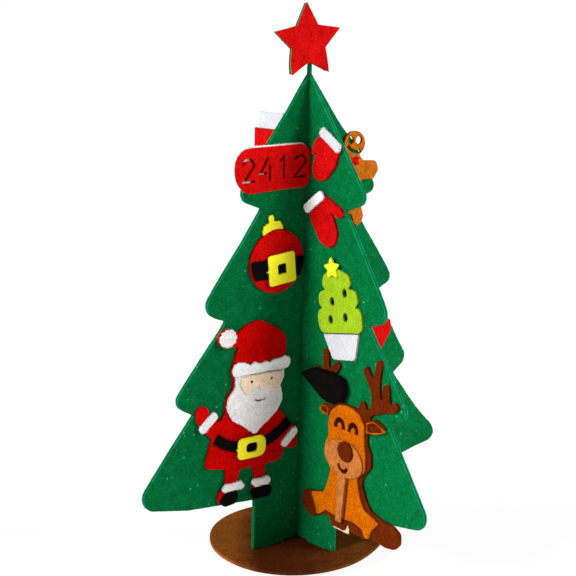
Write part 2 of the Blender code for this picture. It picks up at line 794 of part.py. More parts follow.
def add_santa(face):
    place = santa_place_share

    def cut(shares):
        return rounded(sized(shares, santa_width, santa_height))

    def put(name, outline, thickness, colour, layer, holes=()):
        face.plate("father_christmas_" + name, outline, thickness, colour, place, layer, holes=holes)

    put("coat", cut(santa_coat_shares), back_felt, "felt_red", first_layer)
    smile_path = [santa_point(share) for share in santa_smile_shares]
    smile = ribbon(smile_path, santa_smile_stroke_share * santa_width)
    put("beard", cut(santa_beard_shares), face_felt, "felt_white", second_layer, [smile])
    eyes = [
        moved(ellipse(2 * punch_radius, 2 * punch_radius, small_ring_count // 2), santa_point(share))
        for share in santa_eye_places_share
    ]
    put("face", cut(santa_face_shares), trim_felt, "felt_skin", third_layer, eyes)
    nose_size = santa_nose_share * santa_width
    nose = moved(ellipse(nose_size, nose_size, small_ring_count), santa_point(santa_nose_place_share))
    put("nose", nose, trim_felt, "felt_skin", fourth_layer)
    put("hat_brim", cut(santa_brim_shares), face_felt, "felt_white", second_layer)
    pompom_radius = santa_pompom_share * santa_width / 2
    pompom = pompom_outline(pompom_radius, santa_pompom_lobes, santa_pompom_lobe_share)
    pompom = moved(pompom, santa_point(santa_pompom_place_share))
    put("pompom", pompom, fleece_felt, "felt_white", second_layer)
    belt_path = circle_through(*[santa_point(share) for share in santa_belt_shares], 14)
    belt = ribbon(belt_path, santa_belt_width_share * santa_width)
    put("belt", belt, face_felt, "felt_black", second_layer)
    width, height = santa_point(santa_buckle_size_share)
    frame, hole = buckle(width, height, santa_buckle_hole_share, santa_buckle_corner_share)
    step = santa_point(santa_buckle_place_share)
    put("buckle", moved(frame, step), trim_felt, "felt_yellow", third_layer, [moved(hole, step)])
    cuff_length = santa_cuff_size_share[0] * santa_width
    cuff_height = santa_cuff_size_share[1] * santa_width
    cuff = turned(box(cuff_length, cuff_height, cuff_height * santa_cuff_corner_share), santa_cuff_lean)
    left_cuff = moved(cuff, santa_point(santa_left_cuff_place_share))
    right_cuff = moved(cuff, santa_point(santa_right_cuff_place_share))
    put("left_cuff", left_cuff, face_felt, "felt_white", second_layer)
    put("right_cuff", right_cuff, face_felt, "felt_white", second_layer)
    put("left_boot", cut(santa_left_boot_shares), face_felt, "felt_black", second_layer)
    put("right_boot", cut(santa_right_boot_shares), face_felt, "felt_black", second_layer)
    put("left_boot_trim", cut(santa_left_trim_shares), face_felt, "felt_white", second_layer)
    put("right_boot_trim", cut(santa_right_trim_shares), face_felt, "felt_white", second_layer)


# Gingerbread figure. Right half, in shares of its width and height from the middle of its feet.

gingerbread_half_shares = [
    (0.000, 0.160, 0.030), (0.075, 0.030, 0.060), (0.160, -0.010, 0.100), (0.272, 0.090, 0.110),
    (0.190, 0.230, 0.060), (0.150, 0.330, 0.080), (0.145, 0.490, 0.060), (0.375, 0.506, 0.060),
    (0.480, 0.600, 0.060), (0.440, 0.686, 0.060), (0.190, 0.690, 0.030), (0.132, 0.722, 0.030),
]
gingerbread_head_share = (0.206, 0.132)
gingerbread_head_height_share = 0.868
gingerbread_eye_share = (0.080, 0.034)
gingerbread_eye_size_share = 0.118
gingerbread_smile_shares = [
    (-0.138, 0.845), (-0.077, 0.803), (0.004, 0.781), (0.070, 0.778), (0.112, 0.796),
]
gingerbread_smile_stroke_share = 0.052
gingerbread_bow_shares = [
    (-0.132, 0.636, 0.020), (-0.045, 0.676, 0.020), (-0.025, 0.676, 0.020), (0.062, 0.632, 0.020),
    (0.060, 0.740, 0.020), (-0.025, 0.706, 0.020), (-0.045, 0.706, 0.020), (-0.130, 0.740, 0.020),
]


def gingerbread_outline():
    """Body with round feet and hands, and an oval head let in at the neck."""
    right = sized(gingerbread_half_shares, gingerbread_width, gingerbread_height)
    head_width = gingerbread_head_share[0] * gingerbread_width
    head_height = gingerbread_head_share[1] * gingerbread_height
    centre = gingerbread_head_height_share * gingerbread_height
    angles = [math.radians(a) for a in range(-60, 91, 15)]
    right += [(head_width * math.cos(a), centre + head_height * math.sin(a), 0.0) for a in angles]
    right[-1] = (0.0, right[-1][1], 0.0)
    return rounded(mirrored(right))


def add_gingerbread(face):
    place, lean = gingerbread_place_share, gingerbread_lean
    eye_size = gingerbread_eye_size_share * gingerbread_width
    eye_height = (gingerbread_head_height_share + gingerbread_eye_share[1]) * gingerbread_height
    eye_reach = gingerbread_eye_share[0] * gingerbread_width
    eyes = [
        ellipse(eye_size, eye_size, small_ring_count // 2, (side * eye_reach, eye_height))
        for side in (-1, 1)
    ]
    smile_path = [(x * gingerbread_width, y * gingerbread_height) for x, y in gingerbread_smile_shares]
    smile = ribbon(smile_path, gingerbread_smile_stroke_share * gingerbread_width)
    face.plate(
        "gingerbread_body", gingerbread_outline(), back_felt, "felt_gingerbread", place, first_layer, lean,
        holes=[*eyes, smile],
    )
    bow = rounded(sized(gingerbread_bow_shares, gingerbread_width, gingerbread_height))
    face.plate("gingerbread_bow", bow, face_felt, "felt_red", place, second_layer, lean)


# Heart

heart_half_shares = [
    (0.000, 0.000, 0.030), (0.500, 0.600, 0.180), (0.470, 1.020, 0.240), (0.150, 1.000, 0.200),
]
heart_dip_share = 0.84


def add_heart(face):
    right = sized(heart_half_shares, heart_width, heart_height)
    dip = (0.0, heart_dip_share * heart_height, 0.0)
    left = [(-x, y, radius) for x, y, radius in reversed(right[1:])]
    outline = rounded(right + [dip] + left)
    face.plate("heart", outline, back_felt, "felt_red", heart_place_share, first_layer)


# Mittens. Shares from the middle of the cuff, with the thumb at the right.

mitten_hand_shares = [
    (-0.430, 0.000, 0.030), (-0.520, -0.280, 0.300), (-0.515, -0.740, 0.400), (-0.250, -0.985, 0.330),
    (0.130, -1.000, 0.300), (0.400, -0.830, 0.250), (0.475, -0.600, 0.150), (0.478, -0.385, 0.020),
    (0.640, -0.590, 0.080), (0.930, -0.650, 0.100), (0.945, -0.480, 0.120), (0.720, -0.230, 0.200),
    (0.500, 0.000, 0.050),
]


upper_mitten_hand_shares = [
    (-0.460, 0.000, 0.050), (-0.551, -0.126, 0.100), (-0.649, -0.331, 0.120), (-0.600, -0.497, 0.080),
    (-0.475, -0.590, 0.050), (-0.389, -0.450, 0.020), (-0.335, -0.629, 0.250), (-0.227, -0.861, 0.300),
    (0.108, -0.944, 0.350), (0.465, -0.795, 0.380), (0.589, -0.394, 0.400), (0.476, 0.000, 0.050),
]


def add_mitten(face, name, shares, place, lean):
    hand = rounded(sized(shares, mitten_width, mitten_length))
    face.plate(name + "_hand", hand, back_felt, "felt_red", place, first_layer, lean)
    cuff = box(mitten_cuff_length, mitten_cuff_height, mitten_cuff_radius)
    face.plate(name + "_cuff", cuff, face_felt, "felt_white", place, second_layer, lean)


# Potted tree. Shares from the middle of the pot's rim.

foliage_half_shares = [
    (0.490, 0.000, 0.130), (0.515, 0.260, 0.150), (0.480, 0.370, 0.080), (0.375, 0.388, 0.012),
    (0.455, 0.470, 0.080), (0.435, 0.640, 0.100), (0.270, 0.682, 0.012), (0.335, 0.760, 0.070),
    (0.290, 0.900, 0.100),
]
foliage_top_share = (-0.060, 1.040, 0.120)
foliage_hole_shares = [(0.175, 0.620), (-0.130, 0.495), (0.142, 0.245), (-0.208, 0.213)]
foliage_hole_size_share = (0.110, 0.142)
pot_shares = [
    (-0.510, -0.030, 0.010), (-0.300, -0.990, 0.080), (0.290, -1.020, 0.100), (0.350, -0.900, 0.050),
    (0.490, -0.030, 0.010),
]
potted_tree_star_place_share = (-0.030, 1.010)


def add_potted_tree(face):
    place, lean = potted_tree_place_share, potted_tree_lean
    right = sized(foliage_half_shares, foliage_width, foliage_height)
    left = [(-x, y, radius) for x, y, radius in reversed(right)]
    top = sized([foliage_top_share], foliage_width, foliage_height)
    holes = [
        ellipse(
            foliage_hole_size_share[0] * foliage_width, foliage_hole_size_share[1] * foliage_height,
            small_ring_count // 2, (x * foliage_width, y * foliage_height),
        )
        for x, y in foliage_hole_shares
    ]
    outline = rounded(right + top + left)
    face.plate("potted_tree_foliage", outline, back_felt, "felt_lime", place, first_layer, lean, holes)
    pot = rounded(sized(pot_shares, pot_width, pot_height))
    pot = moved(pot, (0.0, -gap))
    face.plate("potted_tree_pot", pot, back_felt, "felt_white", place, first_layer, lean)
    centre = (
        potted_tree_star_place_share[0] * foliage_width,
        potted_tree_star_place_share[1] * foliage_height,
    )
    tips = star(potted_tree_star_radius, potted_tree_star_inner_share, 0.0, centre)
    outline = rounded([(x, y, potted_tree_star_tip_radius) for x, y in tips])
    face.plate("potted_tree_star", outline, face_felt, "felt_yellow", place, second_layer, lean)


# Reindeer. Shares of its width and height from below the middle of its head; radii of its width.

antler_shares = [
    (0.075, 0.705, 0.010), (0.081, 0.738, 0.020), (0.118, 0.758, 0.018), (0.143, 0.742, 0.012),
    (0.158, 0.708, 0.012), (0.196, 0.748, 0.030), (0.196, 0.812, 0.020), (0.104, 0.917, 0.022),
    (0.142, 0.952, 0.022), (0.217, 0.886, 0.010), (0.231, 0.990, 0.022), (0.290, 1.006, 0.024),
    (0.286, 0.860, 0.020), (0.290, 0.740, 0.006), (0.308, 0.868, 0.022), (0.368, 0.890, 0.024),
    (0.371, 0.782, 0.008), (0.408, 0.806, 0.022), (0.450, 0.778, 0.024), (0.412, 0.745, 0.020),
    (0.318, 0.722, 0.030), (0.222, 0.698, 0.030),
]
left_antler_height_share = 0.90
right_antler_height_share = 1.0
antler_root_share = 0.70
reindeer_right_side_shares = [
    (0.172, 0.660, 0.010), (0.240, 0.684, 0.030), (0.352, 0.656, 0.010), (0.285, 0.612, 0.030),
    (0.194, 0.590, 0.012), (0.196, 0.540, 0.030), (0.240, 0.490, 0.040), (0.246, 0.420, 0.045),
    (0.168, 0.358, 0.030), (0.154, 0.315, 0.020), (0.205, 0.240, 0.030), (0.252, 0.204, 0.025),
    (0.350, 0.190, 0.030), (0.470, 0.182, 0.040), (0.535, 0.160, 0.040), (0.540, 0.100, 0.060),
    (0.490, 0.045, 0.060), (0.400, 0.036, 0.040), (0.325, 0.045, 0.020), (0.240, 0.050, 0.012),
    (0.182, 0.020, 0.030), (0.050, 0.018, 0.025), (0.010, 0.066, 0.012), (-0.018, 0.008, 0.018),
    (-0.145, 0.008, 0.030), (-0.172, 0.058, 0.020),
]
reindeer_left_side_shares = [
    (-0.270, 0.042, 0.020), (-0.360, -0.001, 0.050), (-0.475, 0.050, 0.070), (-0.462, 0.150, 0.070),
    (-0.340, 0.168, 0.030), (-0.214, 0.192, 0.030), (-0.168, 0.270, 0.030), (-0.150, 0.342, 0.020),
    (-0.215, 0.400, 0.040), (-0.225, 0.460, 0.045), (-0.188, 0.510, 0.025), (-0.190, 0.604, 0.020),
    (-0.245, 0.606, 0.025), (-0.315, 0.633, 0.012), (-0.262, 0.670, 0.030), (-0.170, 0.668, 0.010),
]
reindeer_body_shares = [
    (-0.350, 0.161, 0.008), (-0.218, 0.190, 0.030), (-0.175, 0.268, 0.030), (-0.152, 0.336, 0.020),
    (-0.214, 0.396, 0.040), (-0.220, 0.455, 0.045), (-0.186, 0.505, 0.030), (-0.193, 0.580, 0.040),
    (-0.172, 0.645, 0.045), (-0.100, 0.691, 0.070), (-0.005, 0.705, 0.080), (0.100, 0.684, 0.070),
    (0.166, 0.632, 0.060), (0.186, 0.550, 0.050), (0.214, 0.470, 0.045), (0.203, 0.395, 0.045),
    (0.118, 0.340, 0.020), (0.150, 0.248, 0.030), (0.196, 0.196, 0.025), (0.347, 0.168, 0.008),
    (0.272, 0.112, 0.030), (0.247, 0.050, 0.020), (0.210, 0.040, 0.018), (0.182, 0.090, 0.020),
    (0.090, 0.100, 0.015), (0.006, 0.093, 0.008), (0.040, 0.340, 0.004), (0.022, 0.340, 0.004),
    (-0.016, 0.082, 0.008), (-0.092, 0.088, 0.008), (-0.196, 0.093, 0.015), (-0.222, 0.070, 0.015),
    (-0.282, 0.040, 0.015), (-0.300, 0.085, 0.030),
]
reindeer_left_ear_shares = [
    (-0.303, 0.633, 0.012), (-0.258, 0.664, 0.025), (-0.196, 0.656, 0.008), (-0.203, 0.614, 0.008),
    (-0.242, 0.610, 0.020),
]
reindeer_left_ear_hole_shares = [
    (-0.282, 0.635, 0.008), (-0.248, 0.653, 0.012), (-0.208, 0.648, 0.006), (-0.214, 0.621, 0.006),
]
reindeer_right_ear_shares = [
    (0.178, 0.655, 0.008), (0.230, 0.675, 0.030), (0.322, 0.640, 0.008), (0.262, 0.608, 0.030),
    (0.190, 0.594, 0.008),
]
reindeer_right_ear_hole_shares = [
    (0.192, 0.643, 0.006), (0.236, 0.661, 0.015), (0.296, 0.638, 0.006), (0.206, 0.607, 0.010),
]
reindeer_eye_places_share = [(-0.077, 0.568), (0.062, 0.568)]
reindeer_eye_size_share = (0.112, 0.060)
reindeer_eye_stroke_share = 0.036
reindeer_muzzle_place_share = (-0.006, 0.420)
reindeer_muzzle_size_share = (0.400, 0.188)
reindeer_belly_top_shares = (-0.066, 0.018)
reindeer_belly_shares = [(-0.074, 0.066), (-0.020, 0.066)]
reindeer_nose_place_share = (0.021, 0.464)
reindeer_nose_size_share = (0.156, 0.106)
reindeer_smile_shares = [
    (-0.060, 0.384), (-0.046, 0.362), (-0.018, 0.351), (0.014, 0.356), (0.034, 0.376),
]
reindeer_smile_stroke_share = 0.026
reindeer_hoof_backing_place_share = (-0.0705, 0.037)


def reindeer_point(share):
    return (share[0] * reindeer_width, share[1] * reindeer_height)


def antler(side, height_share):
    """Corners of one antler, from the head's top outwards and round to its root by the ear."""
    corners = []
    for x, y, radius in antler_shares:
        lift = antler_root_share + (y - antler_root_share) * height_share
        corners.append((side * x * reindeer_width, lift * reindeer_height, radius * reindeer_width))
    return corners if side > 0 else corners[::-1]


def reindeer_back_outline():
    """Brown backing: ears, antlers, hooves and the edge that shows round the body."""
    left = sized(reindeer_left_side_shares, reindeer_width, reindeer_height)
    right = sized(reindeer_right_side_shares, reindeer_width, reindeer_height)
    antlers = antler(-1, left_antler_height_share) + antler(1, right_antler_height_share)
    return rounded(left + antlers + right)


def reindeer_muzzle_outline():
    """Oval muzzle that runs on into the strip down the belly."""
    width, height = reindeer_point(reindeer_muzzle_size_share)
    centre = reindeer_point(reindeer_muzzle_place_share)
    left, right = [reindeer_point(share) for share in reindeer_belly_shares]
    left_top, right_top = [share * reindeer_width for share in reindeer_belly_top_shares]
    start = -math.acos((right_top - centre[0]) / (width / 2))
    end = math.tau - math.acos((left_top - centre[0]) / (width / 2))
    count = ring_count // 2
    oval = []
    for i in range(count + 1):
        angle = start + (end - start) * i / count
        oval.append((centre[0] + width / 2 * math.cos(angle), centre[1] + height / 2 * math.sin(angle)))
    return oval + [left, right]


def add_reindeer(face):
    place = reindeer_place_share

    def cut(shares):
        return rounded(sized(shares, reindeer_width, reindeer_height))

    def put(name, outline, thickness, colour, layer, holes=()):
        face.plate("reindeer_" + name, outline, thickness, colour, place, layer, holes=holes)

    put("backing", reindeer_back_outline(), back_felt, "felt_dark_brown", first_layer)
    eye = arch(*reindeer_point(reindeer_eye_size_share), reindeer_eye_stroke_share * reindeer_width)
    eyes = [moved(eye, reindeer_point(share)) for share in reindeer_eye_places_share]
    put("body", cut(reindeer_body_shares), face_felt, "felt_orange", second_layer, eyes)
    left_hole = cut(reindeer_left_ear_hole_shares)
    right_hole = cut(reindeer_right_ear_hole_shares)
    put("left_ear", cut(reindeer_left_ear_shares), face_felt, "felt_orange", second_layer, [left_hole])
    put("right_ear", cut(reindeer_right_ear_shares), face_felt, "felt_orange", second_layer, [right_hole])
    smile_path = [reindeer_point(share) for share in reindeer_smile_shares]
    smile = ribbon(smile_path, reindeer_smile_stroke_share * reindeer_width)
    put("muzzle", reindeer_muzzle_outline(), trim_felt, "felt_tan", third_layer, [smile])
    nose_width, nose_height = reindeer_point(reindeer_nose_size_share)
    nose = ellipse(nose_width, nose_height, ring_count // 2, reindeer_point(reindeer_nose_place_share))
    put("nose", nose, trim_felt, "felt_dark_brown", fourth_layer)
    centre = reindeer_point(reindeer_hoof_backing_place_share)
    backing = box(reindeer_hoof_backing_width, reindeer_hoof_backing_height, gap, centre)
    put("hoof_backing", backing, trim_felt, "felt_cream", first_layer - gap - trim_felt)


# Black cap

cap_place_on_reindeer_share = (-0.2581, 0.7689)
cap_shares = [
    (-0.500, 0.170, 0.030), (-0.210, 0.460, 0.130), (0.180, 0.500, 0.150), (0.430, 0.430, 0.130),
    (0.510, 0.060, 0.140), (0.440, -0.300, 0.080), (0.330, -0.360, 0.080), (0.210, -0.500, 0.100),
    (0.030, -0.440, 0.120), (-0.250, -0.120, 0.150),
]


def add_black_cap(face):
    outline = rounded(sized(cap_shares, cap_width, cap_height))
    mesh = dome_mesh("black_cap", outline, cap_crown, cap_rings)
    step = reindeer_point(cap_place_on_reindeer_share)
    place = tuple(share + length / spine_height for share, length in zip(reindeer_place_share, step))
    face.add("black_cap", mesh, "felt_black", place, second_layer)


# Stocking. Shares from the middle of the leg's upper end.

stocking_leg_shares = [
    (-0.500, 0.000, 0.015), (-0.300, 0.000, 0.010), (-0.300, 0.120, 0.010), (0.470, 0.120, 0.010),
    (0.470, -0.450, 0.080), (0.900, -0.620, 0.120), (0.900, -0.940, 0.160), (-0.300, -0.960, 0.220),
    (-0.500, -0.700, 0.220),
]
stocking_cuff_step_share = (0.130, 0.130)


def add_stocking(face):
    place = stocking_place_share
    leg = rounded(sized(stocking_leg_shares, stocking_width, stocking_height))
    face.plate("stocking_leg", leg, back_felt, "felt_red", place, first_layer)
    step = (stocking_cuff_step_share[0] * stocking_width, stocking_cuff_step_share[1] * stocking_height)
    cuff = box(stocking_cuff_width, stocking_cuff_height, stocking_cuff_radius, step)
    face.plate("stocking_cuff", cuff, face_felt, "felt_white", place, second_layer)


def build():
    clear_scene()
    root = empty("base_frame")
    bd_frame = empty("tree_lift", root)
    ac_frame = empty("front_panel_lift", bd_frame)
    add_base(root)
    add_panel("panel_bd", panel_bd_outline(), bd_frame, BD_FACE)
    add_panel("panel_ac", panel_ac_outline(), ac_frame, AC_FACE)
    ac_face = Face(ac_frame, AC_FACE)
    bd_face = Face(bd_frame, BD_FACE)
    add_star(ac_face)
    add_plaque(ac_face)
    add_bauble(ac_face)
    add_santa(ac_face)
    add_gingerbread(ac_face)
    add_heart(ac_face)
    upper_hand, lower_hand = upper_mitten_hand_shares, mitten_hand_shares
    add_mitten(bd_face, "upper_mitten", upper_hand, upper_mitten_place_share, upper_mitten_lean)
    add_mitten(bd_face, "lower_mitten", lower_hand, lower_mitten_place_share, lower_mitten_lean)
    add_potted_tree(bd_face)
    add_reindeer(bd_face)
    add_black_cap(bd_face)
    add_stocking(bd_face)


build()
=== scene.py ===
import json
import math
import random

import bpy
import numpy as np
from mathutils import Matrix, Vector, kdtree, noise
from mathutils.geometry import delaunay_2d_cdt


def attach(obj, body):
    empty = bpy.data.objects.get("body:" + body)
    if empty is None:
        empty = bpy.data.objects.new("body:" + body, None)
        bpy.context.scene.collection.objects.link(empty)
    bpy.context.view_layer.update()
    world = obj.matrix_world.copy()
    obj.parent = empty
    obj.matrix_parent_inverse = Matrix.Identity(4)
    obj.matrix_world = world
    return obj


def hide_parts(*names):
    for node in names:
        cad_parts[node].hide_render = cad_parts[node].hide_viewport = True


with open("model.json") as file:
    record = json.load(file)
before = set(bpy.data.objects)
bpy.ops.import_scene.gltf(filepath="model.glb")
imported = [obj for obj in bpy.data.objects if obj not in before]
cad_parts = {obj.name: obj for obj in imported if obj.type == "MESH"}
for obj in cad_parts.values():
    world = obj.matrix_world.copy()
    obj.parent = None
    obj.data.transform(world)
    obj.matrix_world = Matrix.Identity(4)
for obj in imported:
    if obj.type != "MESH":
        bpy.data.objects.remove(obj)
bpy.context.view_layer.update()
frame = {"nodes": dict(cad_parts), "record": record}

MM = 0.001
SCENE = bpy.context.scene
BODY = {node: body for body, nodes in frame["record"]["behaviour"]["bodies"].items() for node in nodes}
SLOT = {part["node"]: part["material_slot"] for part in frame["record"]["subparts"]}

# Camera, light and floor, in metres

CAMERA_PLACE = Vector((-0.4740, -0.5782, 0.3290))
CAMERA_HEADING = Vector((0.6237, 0.7817, 0.0)).normalized()
CAMERA_PITCH = math.radians(12.137)
CAMERA_ROLL = math.radians(1.326)
CAMERA_LENS = 76.17
SENSOR_WIDTH = 36.0
# Each soft light: its name, the way to it from the tree, its strength and its width in degrees.
SUNS = (
    ("left_softbox", (-0.885, 0.120, 0.440), 3.2, 20.0),
    ("back_left_softbox", (-0.600, 0.580, 0.550), 0.8, 30.0),
    ("right_softbox", (0.470, -0.760, 0.434), 2.15, 19.0),
    ("far_right_softbox", (0.830, -0.500, 0.300), 2.2, 30.0),
)
WHITE = (1.0, 1.0, 1.0, 1.0)
# The studio's brightness falls from the horizon's to the ceiling's between these heights of the sky.
FADE_HEIGHTS = (0.05, 0.22)
FADE_BRIGHTNESS = (1.02, 0.06)
# Light that the white table gives off from below, as a light table does.
FLOOR_GLOW = 0.84
FLOOR_GREY = (0.22, 0.22, 0.22, 1.0)
FLOOR_ROUGHNESS = 0.9
FLOOR_SIZE = 60.0
FLOOR_DROP = 0.0002

# Colours of the felt

COLOURS = {
    "felt_green": (0.0006, 0.1620, 0.0430),
    # A darker copy of the green for the front panel: painted shade.
    "felt_green_front": (0.0006, 0.1460, 0.0385),
    "felt_red": (0.6200, 0.0035, 0.0036),
    "felt_deep_red": (0.6300, 0.0010, 0.0008),
    "felt_plaque_red": (0.6300, 0.0030, 0.0030),
    # A lighter copy of the red for the bauble, which sits in shade: painted light.
    "felt_bauble_red": (0.6900, 0.0032, 0.0030),
    # Dark red in the walls and floors of the cut numerals: painted shade in the recesses.
    "felt_recess_red": (0.1800, 0.0006, 0.0006),
    "felt_white": (0.6200, 0.6200, 0.6450),
    # Lighter copies of the white: painted light for white pieces on the front panel, and more of it for
    # pieces in shade.
    "felt_fleece": (0.8400, 0.8250, 0.8350),
    "felt_bright_fleece": (0.9600, 0.9450, 0.9550),
    "felt_cap_black": (0.0045, 0.0040, 0.0038),
    "felt_black": (0.0050, 0.0040, 0.0036),
    "felt_yellow": (1.0000, 0.9100, 0.0300),
    "felt_lime": (0.3250, 0.5200, 0.0150),
    "felt_orange": (0.6100, 0.1300, 0.0006),
    "felt_tan": (0.5600, 0.1800, 0.0380),
    "felt_dark_brown": (0.1350, 0.0175, 0.0012),
    "felt_gingerbread": (0.5200, 0.1280, 0.0075),
    "felt_skin": (0.9200, 0.7100, 0.5200),
    "felt_cream": (0.8200, 0.6600, 0.4500),
    "felt_base_brown": (0.2150, 0.0620, 0.0095),
    # Very dark green that fills the holes of the potted tree's foliage: painted shade.
    "felt_dark_green": (0.0010, 0.0200, 0.0050),
    "felt_eye_brown": (0.0300, 0.0080, 0.0030),
    "felt_deep_brown": (0.0500, 0.0045, 0.0008),
}
# How strongly fibres, clouds and lumps shade each colour; the others take all of it.
QUIET = {
    "felt_white": 0.35,
    "felt_fleece": 0.5,
    "felt_bright_fleece": 0.4,
    "felt_yellow": 0.25,
    "felt_skin": 0.4,
    "felt_lime": 0.6,
}
# Pale stray fibres in the green felt.
SPECK_COLOURS = {
    "felt_green": (0.06, 0.42, 0.22),
    "felt_green_front": (0.05, 0.36, 0.19),
}
# The painted highlight along a green panel's cut edge, and the pale felt at the bottom of a cut
# numeral, spread by painted light and shade.
PAINTED_RIM_COLOURS = {
    "felt_green": (0.0070, 0.2700, 0.1400),
    "felt_green_front": (0.0060, 0.2500, 0.1200),
    "felt_recess_red": (0.8500, 0.6200, 0.6200),
}

# Surface of the felt: scales are in waves to a metre, and a range is the part of a noise that counts

# Each lay of fibres: how it is turned, and its scales across and along the fibres.
FIBRE_LAYS = (
    ((0.3, 0.2, 0.9), 5200.0, 700.0),
    ((1.1, -0.7, -0.5), 4600.0, 620.0),
    ((-0.8, 1.3, 0.2), 6000.0, 900.0),
)
FIBRE_DETAIL = 3.0
FIBRE_ROUGHNESS = 0.6
FIBRE_SWERVE = 0.35
FIBRE_RANGE = (0.50, 0.72)
FIBRE_DARKER = 0.34
FIBRE_LIGHTER = 0.18
CLOUD_SCALE = 170.0
CLOUD_DETAIL = 4.0
CLOUD_ROUGHNESS = 0.62
CLOUD_RANGE = (0.32, 0.68)
CLOUD_DARKER = 0.18
CLOUD_LIGHTER = 0.13
LUMP_SCALE = 820.0
LUMP_DETAIL = 2.0
LUMP_ROUGHNESS = 0.65
LUMP_RANGE = (0.30, 0.70)
LUMP_DARKER = 0.36
LUMP_LIGHTER = 0.30
SPECK_SCALE = 210.0
SPECK_RADII = (0.08, 0.19)
SPECK_PATCH_SCALE = 95.0
SPECK_PATCH_DETAIL = 1.0
SPECK_PATCH_ROUGHNESS = 0.5
SPECK_PATCH_RANGE = (0.53, 0.63)
SPECK_PATCH_SHARE = 0.85
RIM_RANGE = (0.55, 0.95)
RIM_CLOUD_RANGE = (0.35, 0.65)
RIM_CLOUD_SHARES = (0.35, 0.95)
FELT_ROUGHNESS = 0.95
FELT_GLOSS = 0.03
BUMP_STRENGTH = 0.55
BUMP_HEIGHT = 0.35 * MM
BUMP_FIBRE_SHARE = 0.55
# The way across the base from left to right in the main view: along X, and against Y.
BASE_ACROSS = (0.78, 0.62)
# Painted light and shade on the base, in metres across it: lighter on the left where light falls,
# darker in front as painted shade, and lighter again on the right; how far the change wanders, where
# the left turns into the front and the front into the right, and what each does to red, green and blue.
BASE_PAINT_WANDER = 0.03
BASE_PAINT_LEFT_CHANGE = (-0.043, -0.025)
BASE_PAINT_RIGHT_CHANGE = (0.005, 0.040)
BASE_PAINTED_LIGHT_LEFT = (1.70, 1.60, 1.55)
BASE_PAINTED_SHADE_FRONT = (0.36, 0.27, 0.25)
BASE_PAINTED_LIGHT_RIGHT = (0.34, 0.36, 0.34)

# Cutting a sheet out of felt, in millimetres

# Corners that agree to this many digits are one point of an outline.
WELD_DIGITS = 3
# How far a corner may lie from a face's level and still be part of that face.
FACE_SLACK = 0.02
# The longest and the shortest step between two points of a cut edge.
EDGE_STEP = 0.9
EDGE_GAP = 0.12
# Where an outline folds back on itself, the mean of two normals is this short and gives no direction.
FOLD_LIMIT = 0.2
# Waves of a die-cut edge to a millimetre, and how strong the short ones are beside the long ones.
LONG_WAVE = 0.55
LONG_WAVE_SLICE = 0.7
SHORT_WAVE = 1.7
SHORT_WAVE_SHARE = 0.6
# Rings of points inside the cut edge, as shares of its rounding.
RING_SHARES = (0.22, 0.6, 1.05)
RING_SLACK_SHARE = 0.93
RING_GAP = 0.2
# The grid inside them, in shares of its step: rows of even triangles, shifted at random.
ROW_SHARE = 0.866
SHIFT_SHARE = 0.22
GRID_SEED = 7
CLEAR_SHARE = 0.35
# The steep wall of a cut numeral, and the space round it that the grid keeps clear.
TRENCH_WALL = 0.13
TRENCH_CLEAR = 0.3
MERGE_LIMIT = 1e-5
TINY = 1e-9
# Lumps of the face, which start this far from the cut edge, and the cap's ribs.
RELIEF_SIZE = 2.6
RELIEF_START = 0.8
SMALL_RELIEF = 2.3
SMALL_RELIEF_SHARE = 0.5
SMALL_RELIEF_SLICE = 3.1
RIB_PITCH = 1.5
RIB_SWERVE = 0.8
RIB_SWERVE_WIDTH = 3.0
RIB_SWERVE_HEIGHT = 5.0
# The cut edge stands out a little half way down, by this much and up to so much more or less.
BULGE = 0.05
BULGE_WANDER = 0.05
BULGE_WAVE = 2.1
# The painted highlight beside a cut edge; on the panels it is weaker towards the foot, which lies more
# in shade.
RIM_WIDTH = 0.15
RIM_FOOT_SHARE = 0.62
RIM_HEIGHTS = (24.0, 42.0)
# Where pale felt shows in a numeral, as shares of its height and width, and along the plaque: most in
# the level strokes on the left, fading into painted shade to the right of each numeral and towards the
# plaque's end by the spine.
STROKE_TOP = (0.80, 0.92)
STROKE_FOOT = (0.06, 0.16)
STROKE_FADE = (0.45, 0.85)
PLAQUE_FADE = (-24.0, -14.0)
PLAQUE_FADE_SHARE = 0.9
PALE_START = 0.55
PALE_RISE = 0.35
PALE_LIMIT = 0.02
NUMERAL_MARGIN = 0.05

# Bends of the standing felt, in millimetres

# How far the wings bow from flat at each height, away from the camera: +Y for the front panel's
# left and right wings, and +X for the side panel's near wing.
LEFT_WING = [
    (45, 0.0), (80, 1.7), (95, 1.9), (112, 1.6), (125, 0.6), (140, -1.2), (152, -2.2), (168, -0.7),
    (182, -1.2), (202, -2.3), (217, -1.9), (235, -1.5), (277, -1.4), (302, 0.0),
]
RIGHT_WING = [
    (40, -1.0), (52, 0.0), (62, 2.0), (72, 4.5), (82, 5.3), (97, 5.6), (112, 4.8), (121, 4.7),
    (133, 3.0), (147, 2.0), (157, 2.0), (168, 2.2), (178, 1.0), (190, 1.0), (205, 1.5), (220, 0.5),
    (235, -1.2), (267, -0.5), (302, 0.0),
]
NEAR_WING = [
    (40, -2.6), (60, -2.2), (80, -1.0), (95, 0.0), (106, 2.4), (125, 2.2), (147, 1.8), (162, 1.4),
    (187, 1.4), (207, 1.7), (228, 2.0), (250, 1.2), (280, 0.4), (302, 0.0),
]
# A wing's reach shrinks evenly with height, from FULL_REACH at WING_FOOT to none WING_HEIGHT above it.
FULL_REACH = 124.0
WING_FOOT = 45.0
WING_HEIGHT = 262.0
LEAST_REACH = 12.0
BOW_POWER = 2.5
